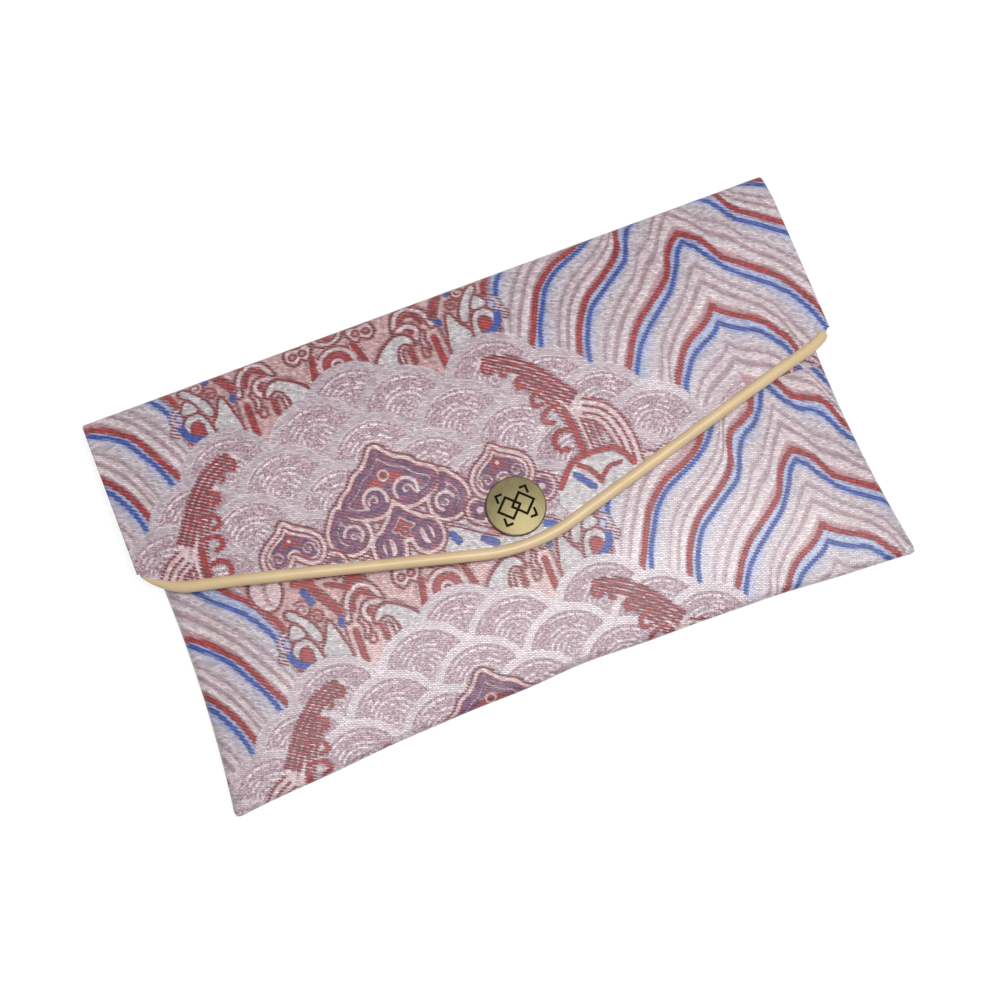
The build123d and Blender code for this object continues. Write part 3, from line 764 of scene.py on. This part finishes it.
    # Figure threads over the ground, with dark gaps between the stitches
    gaps = add(tree, "ShaderNodeMapRange", {"Value": field["ground"], "From Min": 0.1, "From Max": -0.1})
    colour = add(tree, "ShaderNodeMix", {0: gaps, 6: colour, 7: paint("#946468")}, **as_colour)
    dyes = {"rose": ("#B48789", "#D2AEAD"), "silver": ("#B5ABB0", "#D2CBCD"), "pale": ("#C6A6AB", "#DCC8CB"),
            "violet": ("#40295A", "#884A66"), "ember": ("#B03330", "#9E404C"), "wine": ("#6A0D1C", "#9C2A33"),
            "red": ("#7C1620", "#A63836"), "blue": ("#2A3D88", "#435AA8")}
    twine = add(tree, "ShaderNodeTexNoise", {"Vector": slant, "Scale": 0.8, "Detail": 2.0})
    twine = add(tree, "ShaderNodeMapRange", {"Value": twine, "From Min": 0.36, "From Max": 0.64})
    masks = {}
    for name in threads:
        step = dashed if name == "wine" else tooth
        edge = add(tree, "ShaderNodeMath", {0: field[name], 1: step}, operation="ADD")
        masks[name] = add(tree, "ShaderNodeMapRange", {"Value": edge, "From Min": 0.14, "From Max": -0.14})
        first, second = (paint(dye) for dye in dyes[name])
        yarn = add(tree, "ShaderNodeMix", {0: twine, 6: first, 7: second}, **as_colour)
        colour = add(tree, "ShaderNodeMix", {0: masks[name], 6: colour, 7: yarn}, **as_colour)
    dark = masks["violet"]
    for name in ("ember", "wine", "red", "blue"):
        dark = add(tree, "ShaderNodeMath", {0: dark, 1: masks[name]}, operation="MAXIMUM")
    raised = dark
    for name in ("pale", "silver"):
        raised = add(tree, "ShaderNodeMath", {0: raised, 1: masks[name]}, operation="MAXIMUM")
    nearest = field["red"]
    for name in ("blue", "wine", "violet", "pale", "silver"):
        nearest = add(tree, "ShaderNodeMath", {0: nearest, 1: field[name]}, operation="MINIMUM")
    # Every float is a little lighter or darker at random, with painted shade in the gaps between floats, and
    # figures have a painted shadow along their edge where they stand up from the ground
    beside_edge = add(tree, "ShaderNodeMath", {0: nearest, 1: 0.22}, operation="SUBTRACT")
    beside_edge = add(tree, "ShaderNodeMath", {0: beside_edge}, operation="ABSOLUTE")
    painted_edge_shadow = add(tree, "ShaderNodeMapRange", {
        "Value": beside_edge, "From Max": 0.3, "To Min": 0.74, "To Max": 1.0})
    tone_and_shade = add(tree, "ShaderNodeMapRange", {"Value": floats, "To Min": 0.58, "To Max": 1.25})
    # Painted light and shade along each stitch of the dark threads, as on rounded floats lit from one side
    painted_stitch_shade = add(tree, "ShaderNodeMapRange", {
        "Value": zigzag, "From Max": half_stitch, "To Min": 0.48, "To Max": 1.42})
    painted_stitch_shade = add(tree, "ShaderNodeMix", {0: dark, 2: 1.0, 3: painted_stitch_shade})
    spot = add(tree, "ShaderNodeMapRange", {
        "Value": fleck, "From Min": 0.3, "From Max": 0.7, "To Min": 0.86, "To Max": 1.12})
    drift = add(tree, "ShaderNodeMapRange", {
        "Value": cloud, "From Min": 0.3, "From Max": 0.7, "To Min": 0.95, "To Max": 1.05})
    for shade in (painted_stitch_shade, spot, drift, painted_edge_shadow):
        tone_and_shade = add(tree, "ShaderNodeMath", {0: tone_and_shade, 1: shade}, operation="MULTIPLY")
    grey = add(tree, "ShaderNodeCombineXYZ", {"X": tone_and_shade, "Y": tone_and_shade, "Z": tone_and_shade})
    colour = add(tree, "ShaderNodeMix", {0: 1.0, 6: colour, 7: grey}, blend_type="MULTIPLY", **as_colour)
    # Figure threads stand about 0.1 mm proud of the ground, and bare rims shine
    bare_rim = add(tree, "ShaderNodeMath", {0: in_rim, 1: raised}, operation="SUBTRACT", use_clamp=True)
    height = 0.0
    for part, share in ((raised, 0.5), (bare_rim, 0.35), (floats, 0.55), (fleck, 0.5)):
        height = add(tree, "ShaderNodeMath", {0: part, 1: share, 2: height}, operation="MULTIPLY_ADD")
    bump = add(tree, "ShaderNodeBump", {"Strength": 0.8, "Distance": 0.24 * MM, "Height": height})
    gloss = add(tree, "ShaderNodeMapRange", {"Value": bare_rim, "To Min": 0.44, "To Max": 0.28})
    set_sockets(tree, shader, {"Base Color": colour, "Roughness": gloss, "Normal": bump,
                               "Specular IOR Level": 0.55, "Sheen Weight": 0.1, "Sheen Roughness": 0.4})
    return material


def bias_satin():
    """Cream polyester satin cut on the bias over a cord: a smooth soft gloss with faint slanted ribs, drawn
    coarse so that they show."""
    material, tree, shader = start_material("bias_satin")
    rib_spacing = 3.946 * MM
    cloud_size = 25 / 3 * MM
    place = add(tree, "ShaderNodeTexCoord", out="Object")
    slant = add(tree, "ShaderNodeMapping", {"Vector": place, "Rotation": (0, 0, math.radians(45))})
    ribs = add(tree, "ShaderNodeTexWave", {
        "Vector": slant, "Scale": math.tau / wave_turn / rib_spacing, "Distortion": 1.5, "Detail": 2.0,
        "Detail Scale": 2.0})
    cloud = add(tree, "ShaderNodeTexNoise", {"Vector": place, "Scale": 1 / cloud_size, "Detail": 4.0})
    colour = add(tree, "ShaderNodeMix", {0: cloud, 6: paint("#BAA077"), 7: paint("#CCB48D")}, **as_colour)
    bump = add(tree, "ShaderNodeBump", {"Strength": 0.25, "Distance": 0.1 * MM, "Height": ribs})
    set_sockets(tree, shader, {"Base Color": colour, "Roughness": 0.42, "Normal": bump,
                               "Sheen Weight": 0.2, "Specular IOR Level": 0.5})
    return material


def lining_satin():
    """Plain dusty pink polyester lining: even threads, drawn coarse so that they show, and a soft sheen."""
    material, tree, shader = start_material("lining_satin")
    thread_spacing = 1.973 * MM
    cloud_size = 50 / 3 * MM
    place = add(tree, "ShaderNodeTexCoord", out="Object")
    weft = add(tree, "ShaderNodeTexWave", {
        "Vector": place, "Scale": math.tau / wave_turn / thread_spacing, "Distortion": 2.0, "Detail": 3.0},
        bands_direction="Y")
    cloud = add(tree, "ShaderNodeTexNoise", {"Vector": place, "Scale": 1 / cloud_size, "Detail": 4.0})
    colour = add(tree, "ShaderNodeMix", {0: cloud, 6: paint("#B9A1A6"), 7: paint("#CAB5B9")}, **as_colour)
    bump = add(tree, "ShaderNodeBump", {"Strength": 0.2, "Distance": 0.08 * MM, "Height": weft})
    set_sockets(tree, shader, {"Base Color": colour, "Roughness": 0.45, "Normal": bump, "Sheen Weight": 0.2})
    return material


def antique_brass():
    """Plated brass, brushed and antiqued: dull gold with a brown cast and black left in the engraving."""
    material, tree, shader = start_material("antique_brass")
    cap_radius = 7.5
    dome_rise = 0.7
    face_radius = 7.0
    face_edge = 0.3
    engraved_from = 0.02
    engraved_to = 0.09
    grain_size = 2.0 * MM
    # The engraved floor lies below the dome's sphere
    dome_radius = radius_for(cap_radius, dome_rise)
    place = add(tree, "ShaderNodeTexCoord", out="Object")
    centre = (0.0, snap_y * MM, (cap_top - dome_radius) * MM)
    reach = add(tree, "ShaderNodeVectorMath", {0: place, 1: centre}, operation="DISTANCE", out="Value")
    deep = add(tree, "ShaderNodeMapRange", {
        "Value": reach, "From Min": (dome_radius - engraved_from) * MM,
        "From Max": (dome_radius - engraved_to) * MM})
    flat = add(tree, "ShaderNodeVectorMath", {0: place, 1: (1, 1, 0)}, operation="MULTIPLY")
    out = add(tree, "ShaderNodeVectorMath", {0: flat, 1: (0.0, snap_y * MM, 0.0)}, operation="DISTANCE",
              out="Value")
    face = add(tree, "ShaderNodeMapRange", {
        "Value": out, "From Min": face_radius * MM, "From Max": (face_radius - face_edge) * MM})
    deep = add(tree, "ShaderNodeMath", {0: deep, 1: face}, operation="MULTIPLY")
    worn = add(tree, "ShaderNodeTexNoise", {
        "Vector": place, "Scale": 1 / grain_size, "Detail": 6.0, "Roughness": 0.7})
    brass = add(tree, "ShaderNodeMix", {0: worn, 6: paint("#544C37"), 7: paint("#71694D")}, **as_colour)
    colour = add(tree, "ShaderNodeMix", {0: deep, 6: brass, 7: paint("#1E1A14")}, **as_colour)
    rough = add(tree, "ShaderNodeMapRange", {"Value": worn, "To Min": 0.38, "To Max": 0.55})
    rough = add(tree, "ShaderNodeMath", {0: deep, 1: 0.35, 2: rough}, operation="MULTIPLY_ADD")
    bump = add(tree, "ShaderNodeBump", {"Strength": 0.12, "Distance": 0.05 * MM, "Height": worn})
    set_sockets(tree, shader, {"Base Color": colour, "Metallic": 1.0, "Roughness": rough, "Normal": bump})
    return material


def turned_metal(name, dark, light, roughness):
    """Pressed sheet metal with a fine, slightly dulled grain."""
    material, tree, shader = start_material(name)
    grain_size = 10 / 9 * MM
    place = add(tree, "ShaderNodeTexCoord", out="Object")
    grain = add(tree, "ShaderNodeTexNoise", {
        "Vector": place, "Scale": 1 / grain_size, "Detail": 5.0, "Roughness": 0.7})
    colour = add(tree, "ShaderNodeMix", {0: grain, 6: paint(dark), 7: paint(light)}, **as_colour)
    bump = add(tree, "ShaderNodeBump", {"Strength": 0.1, "Distance": 0.04 * MM, "Height": grain})
    set_sockets(tree, shader, {"Base Color": colour, "Metallic": 1.0, "Roughness": roughness, "Normal": bump})
    return material


def spun_thread(name, dark, light):
    """Spun sewing thread: matt, with a twist."""
    material, tree, shader = start_material(name)
    # Diagonal bands turn half as fast
    twist_length = 2.82 * MM
    place = add(tree, "ShaderNodeTexCoord", out="Object")
    twist = add(tree, "ShaderNodeTexWave", {
        "Vector": place, "Scale": 2 * math.tau / wave_turn / twist_length, "Distortion": 1.0},
        bands_direction="DIAGONAL")
    colour = add(tree, "ShaderNodeMix", {0: twist, 6: paint(dark), 7: paint(light)}, **as_colour)
    bump = add(tree, "ShaderNodeBump", {"Strength": 0.4, "Distance": 0.08 * MM, "Height": twist})
    set_sockets(tree, shader, {"Base Color": colour, "Roughness": 0.8, "Normal": bump, "Sheen Weight": 0.3})
    return material


brocade = silk_brocade()
satin = bias_satin()
lining = lining_satin()

# Flap: one sheet of brocade from the back panel over the top fold to the V edge
back_join_y = 48.0
rim_radius = stack / 2
hem_width = 5.0
ramp_lean = math.asin((half_height - ramp_start) / ramp_radius)
fold_rise = top_fold_height - seam_level
fold_radius = fold_rise * math.cos(ramp_lean) / (1 - math.sin(ramp_lean))
fold_centre_y = half_height - fold_radius

flap_columns = 340
flap_rows = 138
cloth_under_piping = 0.3
# The V edge turns down beside the piping: how far out, how far down and how far on along the cloth
v_edge_turn = [(0.3, 0.12, 0.3), (0.52, 0.45, 0.7), (0.6, 0.95, 1.2)]

lining_columns = 90
flap_lining_rows = 40
lining_ply = 0.2
lining_proud = 0.05
lining_under_hem = 1.0
lining_piping_gap = 0.2


def fold_profile(depth=0.0):
    """The top fold from the back panel round its nose to the foot of the ramp, as (y, z), depth inside."""
    reach = fold_radius - depth
    lower_reach = seam_level - depth
    points = [(y, depth) for y in np.linspace(back_join_y, fold_centre_y, 4, endpoint=False)]
    for a in np.radians(np.linspace(-90, 0, 7, endpoint=False)):
        points.append((fold_centre_y + reach * math.cos(a), seam_level + lower_reach * math.sin(a)))
    for a in np.linspace(0, math.pi / 2 - ramp_lean, 7):
        points.append((fold_centre_y + reach * math.cos(a), seam_level + reach * math.sin(a)))
    return np.array(points)


def flap_sheet(xs, rows, inset, depth=0.0):
    """Points of the flap for columns xs, from the back panel to inset from the V edge, depth below its
    face."""
    profile = fold_profile()
    share = np.linspace(0, 1, rows + 1)[1:]
    edge = flap_edge(xs, inset) + fall(left_corner_round, left_corner_round - half_width - xs)
    edge = edge + fall(right_corner_round, right_corner_round - half_width + xs)
    y = np.vstack([np.repeat(profile[:, :1], len(xs), axis=1),
                   profile[-1, 0] + share[:, None] * (edge[None, :] - profile[-1, 0])])
    x = np.repeat(xs[None, :], len(y), axis=0)
    z = flap_level(x, y)
    z[:len(profile)] = profile[:, 1:]
    sheet = np.stack([x, y, z], axis=2)
    sheet = sheet - depth * outward(sheet)
    sheet[:len(profile), :, 1:] = fold_profile(depth)[:, None, :]
    return sheet


def fold_on_strip():
    """Place along the strip of each point of the fold's profile, carried on from the flap."""
    profile = fold_profile()
    runs = np.hypot(*np.diff(profile, axis=0).T)
    return profile[-1, 0] + np.concatenate([np.cumsum(runs[::-1])[::-1], [0]])


def make_flap_cloth():
    """The flap's brocade with its side hems, turned in along the piping."""
    inset = piping_diameter - cloth_under_piping
    xs = np.linspace(-half_width + rim_radius, half_width - rim_radius, flap_columns)
    sheet = flap_sheet(xs, flap_rows, inset)
    fold = fold_on_strip()
    v = sheet[:, :, 1].copy()
    v[:len(fold)] = fold[:, None]
    # The side edges turn round the inner plies into a hem underneath
    turn = np.radians(np.linspace(0, 180, 7)[1:])
    hem = np.linspace(0, hem_width, 4)[1:]
    outs = [(rim_radius * math.sin(a), rim_radius * (1 - math.cos(a))) for a in turn]
    outs += [(-h, stack) for h in hem]
    sides = {}
    for side, column, border in ((-1, 0, xs[:3]), (1, -1, xs[-3:])):
        strips = []
        for dx, depth in outs:
            moved = flap_sheet(border, flap_rows, inset, depth)[:, column]
            moved[:, 0] = xs[column] + side * dx
            strips.append(moved)
        sides[side] = np.stack(strips, axis=1)
    grid = np.concatenate([sides[-1][:, ::-1], sheet, sides[1]], axis=1)
    beyond = np.concatenate([rim_radius * turn, rim_radius * math.pi + hem])
    x = np.concatenate([xs[0] - beyond[::-1], xs, xs[-1] + beyond])
    v = np.pad(v, ((0, 0), (len(outs), len(outs))), mode="edge")
    face = np.pad(np.ones(len(xs)), len(outs))[None, :, None]
    rows, heights = [grid], [v]
    for out, down, on in v_edge_turn:
        rows.append(grid[-1:] - np.array([0, out, 0]) - face * np.array([0, 0, down]))
        heights.append(v[-1:] - on)
    grid, v = np.concatenate(rows), np.concatenate(heights)
    piece = sheet_object("flap_cloth", grid, grid_faces(*grid.shape[:2]), brocade)
    x = np.repeat(x[None, :], len(grid), axis=0)
    # Right of the mountain the scales end sooner
    weave(piece, x, v, np.where(x > cloud_axis + half_repeat, right_shore, no_shore))
    return piece


def make_flap_lining():
    """The flap's lining: a thin closed slab, tucked under the hems and stopped short of the piping."""
    reach = half_width - hem_width + lining_under_hem
    xs = np.linspace(-reach, reach, lining_columns)
    inset = piping_diameter + lining_piping_gap
    faces_at = (stack - lining_ply, stack + lining_proud)
    inner, under = (flap_sheet(xs, flap_lining_rows, inset, depth) for depth in faces_at)
    rows, columns = inner.shape[:2]
    count = rows * columns
    index = np.arange(count).reshape(rows, columns)
    rim = np.concatenate([index[0], index[1:, -1], index[-1, -2::-1], index[-2:0:-1, 0]])
    after = np.roll(rim, -1)
    faces = grid_faces(rows, columns)
    sides = np.stack([rim + count, after + count, after, rim], axis=1)
    faces = np.concatenate([faces, faces[:, ::-1] + count, sides])
    return sheet_object("flap_lining_cloth", np.concatenate([inner, under]), faces, lining)


# Pouch: front panel, bottom fold and back panel as one sheet
fold_half = front_edge_top / 2
edge_roll = 1.9
seam_roll_share = 0.015
seam_roll_steps = np.array([0.75, 0.5, 0.28, 0.1, 0.0])
mouth_hem = 9.0
hidden_to = 9.0
hidden_rows = 22
front_rows = 126
back_rows = 106
half_columns = 165

# The strip is tugged down towards the left seam, and takes up slack towards the foot
tug_from = 64
tug_reach = 24
tug_foot = 46
tug_rise = 36
slack_below_belly = 15

pocket_front_rows = 34
pocket_back_rows = 44
pocket_below_mouth = 8.0
pocket_above_foot = 4.0
pocket_least_gape = 0.3
pocket_lift = 0.02


def pouch_row(shares, y, z_of):
    """One row of the pouch at y: shares run across from seam to seam."""
    x = shares * pouch_side(y)
    away = (1 - np.abs(shares)) * pouch_side(y)
    near = np.clip(1 - away / edge_roll, 0, 1)
    keep = np.sqrt(np.clip(1 - near * near, 0, 1))
    z = seam_level + (z_of(x, y) - seam_level) * keep
    return np.stack([x, np.broadcast_to(y, x.shape), z], axis=1)


def make_pouch_cloth():
    """The pouch's brocade, from the hem inside the mouth down the front and up the back to the flap."""
    half = np.linspace(0, 1 - seam_roll_share, half_columns)
    half = np.concatenate([half, 1 - seam_roll_share * seam_roll_steps])
    shares = np.concatenate([-half[:0:-1], half])
    rows, heights = [], []
    # The mouth's hem, turned inside
    start = mouth_y - rim_radius
    for y in np.linspace(mouth_y - mouth_hem, start, 5, endpoint=False):
        rows.append(pouch_row(shares, y, lambda x, y: front_level(x, y) - stack))
        heights.append(2 * mouth_y - y)
    for a in np.radians(np.linspace(0, 180, 6, endpoint=False)):
        y = start + rim_radius * math.sin(a)
        depth = rim_radius * (1 + math.cos(a))
        rows.append(pouch_row(shares, y, lambda x, y: front_level(x, y) - depth))
        heights.append(mouth_y + rim_radius * math.cos(a))
    # Front panel: coarse under the flap, fine where it shows
    foot = pouch_bottom(shares * pouch_side(-half_height)) + fold_half
    spots = np.concatenate([np.linspace(start, hidden_to, hidden_rows, endpoint=False),
                            np.linspace(hidden_to, -half_height, front_rows)])
    for spot in spots:
        part = (start - spot) / (start + half_height)
        y = start + part * (foot - start)
        rows.append(pouch_row(shares, y, front_level))
        heights.append(y)
    # Bottom fold
    last = rows[-1][:, 2]
    for a in np.radians(np.linspace(0, 180, 9)[1:]):
        y = foot - fold_half * math.sin(a)
        rows.append(pouch_row(shares, y, lambda x, y: last * (1 + math.cos(a)) / 2))
        heights.append(foot - fold_half * a)
    # Back panel, flat on the table
    for part in np.linspace(0, 1, back_rows)[1:]:
        rows.append(pouch_row(shares, foot + part * (back_join_y - foot), lambda x, y: 0.0 * x))
    grid = np.stack(rows)
    x, y = grid[:, :, 0].copy(), grid[:, :, 1]
    v = fold_on_strip()[0] + back_join_y - y
    front = slice(len(heights))
    tug = np.clip((-x[front] - tug_from) / tug_reach, 0, 1) ** 1.5
    tug = tug * np.clip((y[front] + tug_foot) / tug_rise, 0, 1)
    slack = np.clip(-belly_end - slack_below_belly - y[front], 0, None)
    v[front] = np.stack([np.broadcast_to(height, shares.shape) for height in heights])
    v[front] = v[front] + front_shift_y - left_seam_tug * tug - foot_take_up * slack
    x[front] -= front_shift_x
    piece = sheet_object("pouch_cloth", grid, grid_faces(*grid.shape[:2]), brocade)
    weave(piece, x, v, np.full(x.shape, no_shore))
    return piece


def make_pocket_lining():
    """The pocket's lining, down behind the front panel and up along the back panel."""
    reach = 1 - seam_roll_share
    shares = np.linspace(-reach, reach, lining_columns)
    rows = []
    start = mouth_y - pocket_below_mouth
    foot = pouch_bottom(shares * pouch_side(-half_height)) + pocket_above_foot
    for part in np.linspace(0, 1, pocket_front_rows):
        y = start + part * (foot - start)
        x = shares * pouch_side(y)
        z = np.maximum(front_level(x, y) - stack, stack + pocket_least_gape)
        rows.append(np.stack([x, y, z], axis=1))
    for part in np.linspace(0, 1, pocket_back_rows):
        y = foot + part * (back_join_y - foot)
        x = shares * pouch_side(y)
        rows.append(np.stack([x, y, np.full(len(x), stack + pocket_lift)], axis=1))
    grid = np.stack(rows)
    return sheet_object("pocket_lining_cloth", grid, grid_faces(*grid.shape[:2])[:, ::-1], lining)


# Piping: its ends, how each curls up the flap's side, and how the left one tapers and the right one rounds
piping_left = -91.3
piping_right = 90.3
piping_rings = 300
piping_sides = 18
left_curl = 4.4
left_curl_run = 12.3
right_curl = 1.4
right_curl_run = 7.3
left_taper = 9.0
right_round = 1.5
piping_unevenness = 0.018


def make_piping():
    """The satin-covered cord along the V edge, tucked in at its ends."""
    x = np.linspace(piping_left, piping_right, piping_rings)
    from_left = x - piping_left
    from_right = piping_right - x
    inset = piping_diameter / 2
    y = flap_edge(x, inset) + left_curl * np.clip(1 - from_left / left_curl_run, 0, 1) ** 2.4
    y = y + right_curl * np.clip(1 - from_right / right_curl_run, 0, 1) ** 2
    centre = np.stack([x, y, flap_level(x, y) - stack / 2], axis=1)
    along = np.gradient(centre, axis=0)
    along /= np.linalg.norm(along, axis=1, keepdims=True)
    level = np.cross(np.array([0, 0, 1.0]), along)
    level /= np.linalg.norm(level, axis=1, keepdims=True)
    rise = np.cross(along, level)
    pointed = np.sqrt(np.clip(from_left / left_taper, 0.01, 1))
    rounded = np.sqrt(np.clip(1 - np.clip(1 - from_right / right_round, 0, 1) ** 2, 0.02, 1))
    uneven = 1 + piping_unevenness * np.sin(x / 2.3) * np.sin(x / 7.1 + 1.0)
    radius = inset * pointed * rounded * uneven
    turn = np.linspace(0, math.tau, piping_sides, endpoint=False)[None, :, None]
    ring = np.cos(turn) * level[:, None, :] + np.sin(turn) * rise[:, None, :]
    grid = centre[:, None, :] + radius[:, None, None] * ring
    faces = list(grid_faces(piping_rings, piping_sides, ring=True)[:, ::-1])
    last_ring = (piping_rings - 1) * piping_sides
    faces += [range(piping_sides)[::-1], range(last_ring, last_ring + piping_sides)]
    return sheet_object("piping", grid, faces, satin)


flap_cloth = make_flap_cloth()
flap_lining_cloth = make_flap_lining()
pouch_cloth = make_pouch_cloth()
pocket_lining = make_pocket_lining()
piping = make_piping()

# What each piece moves with, and the solids of the frame that it hides
for piece in (flap_cloth, flap_lining_cloth):
    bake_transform(piece)
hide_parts("flap_brocade", "flap_interlining")
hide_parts("flap_lining")
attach(pouch_cloth, "pouch")
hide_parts("front_brocade", "back_brocade", "front_interlining", "back_interlining")
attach(pocket_lining, "pouch")
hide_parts("front_lining", "back_lining")
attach(piping, "flap")
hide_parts("piping_cover", "piping_cord")

finishes = {
    "cap_shell": antique_brass(),
    "cap_rivet": turned_metal("plain_brass", "#A08A55", "#C4B07C", 0.3),
    "snap_spring": turned_metal("spring_steel", "#A9AAAC", "#CBCCCE", 0.25),
    "left_seam_thread": spun_thread("polyester_thread", "#B7A3AA", "#D8CBD0"),
}
finishes["snap_socket"] = finishes["snap_stud"] = finishes["stud_rivet"] = finishes["cap_rivet"]
finishes["right_seam_thread"] = finishes["piping_seam_thread"] = finishes["left_seam_thread"]
for node, material in finishes.items():
    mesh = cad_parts[node].data
    mesh.materials.clear()
    mesh.materials.append(material)


# Floor, light and camera

def shows_white(tree):
    """One where the eye, metal or glass looks straight at the background, and nought for its light."""
    path = tree.nodes.new("ShaderNodeLightPath")
    seen = path.outputs["Is Camera Ray"]
    for ray in ("Is Glossy Ray", "Is Transmission Ray"):
        seen = add(tree, "ShaderNodeMath", {0: seen, 1: path.outputs[ray]}, operation="MAXIMUM")
    return seen


def pale_floor():
    """White card: it shows the object's soft shadow and is close to white to the eye."""
    material, tree, shader = start_material("white_card")
    card = add(tree, "ShaderNodeBsdfDiffuse", {"Color": paint("#F2F2F2")})
    white = add(tree, "ShaderNodeEmission", {"Color": (1, 1, 1, 1), "Strength": 1.04})
    seen = add(tree, "ShaderNodeMath", {0: shows_white(tree), 1: 0.86}, operation="MULTIPLY")
    both = add(tree, "ShaderNodeMixShader", {0: seen, 1: card, 2: white})
    tree.nodes.remove(shader)
    tree.links.new(both, tree.nodes["Material Output"].inputs["Surface"])
    return material


floor_half = 3000.0
floor_drop = 0.05
floor_corners = np.array([[-1, -1, 0], [1, -1, 0], [1, 1, 0], [-1, 1, 0]])
floor_points = floor_corners * floor_half - np.array([0, 0, floor_drop])
floor = sheet_object("floor", floor_points, np.array([[0, 1, 2, 3]]), pale_floor())


def softbox(name, place, aim, size, power):
    """A square soft lamp at place, in millimetres, turned to aim."""
    lamp = bpy.data.lights.new(name, "AREA")
    lamp.shape = "SQUARE"
    lamp.size = size * MM
    lamp.energy = power
    holder = bpy.data.objects.new(name, lamp)
    holder.location = Vector(place) * MM
    holder.rotation_euler = (Vector(aim) - Vector(place)).to_track_quat("-Z", "Y").to_euler()
    bpy.context.scene.collection.objects.link(holder)


softbox("key_softbox", (95, -110, 760), (0, -20, 0), 290, 5.9)
softbox("fill_softbox", (420, 200, 560), (0, 0, 0), 500, 0.7)

world = bpy.data.worlds.new("studio")
world.use_nodes = True
backdrop = world.node_tree.nodes["Background"]
backdrop.inputs["Color"].default_value = (1, 1, 1, 1)
level = add(world.node_tree, "ShaderNodeMapRange", {
    "Value": shows_white(world.node_tree), "To Min": 0.2, "To Max": 1.0})
world.node_tree.links.new(level, backdrop.inputs["Strength"])
bpy.context.scene.world = world
bpy.context.scene.view_settings.view_transform = "Standard"

camera_place = (-72.6, -110.6, 584.7)
camera_aim = (-2.48, -3.31, 6.0)
camera_roll = 11.74
focal_length = 86.4
camera = bpy.data.objects.new("camera", bpy.data.cameras.new("camera"))
camera.data.lens = focal_length
camera.data.sensor_width = 36.0
camera.location = Vector(camera_place) * MM
look = (Vector(camera_aim) - Vector(camera_place)).to_track_quat("-Z", "Y")
camera.rotation_euler = (look @ Quaternion((0, 0, 1), math.radians(camera_roll))).to_euler()
camera.data.clip_start = 0.01
bpy.context.scene.collection.objects.link(camera)
bpy.context.scene.camera = camera
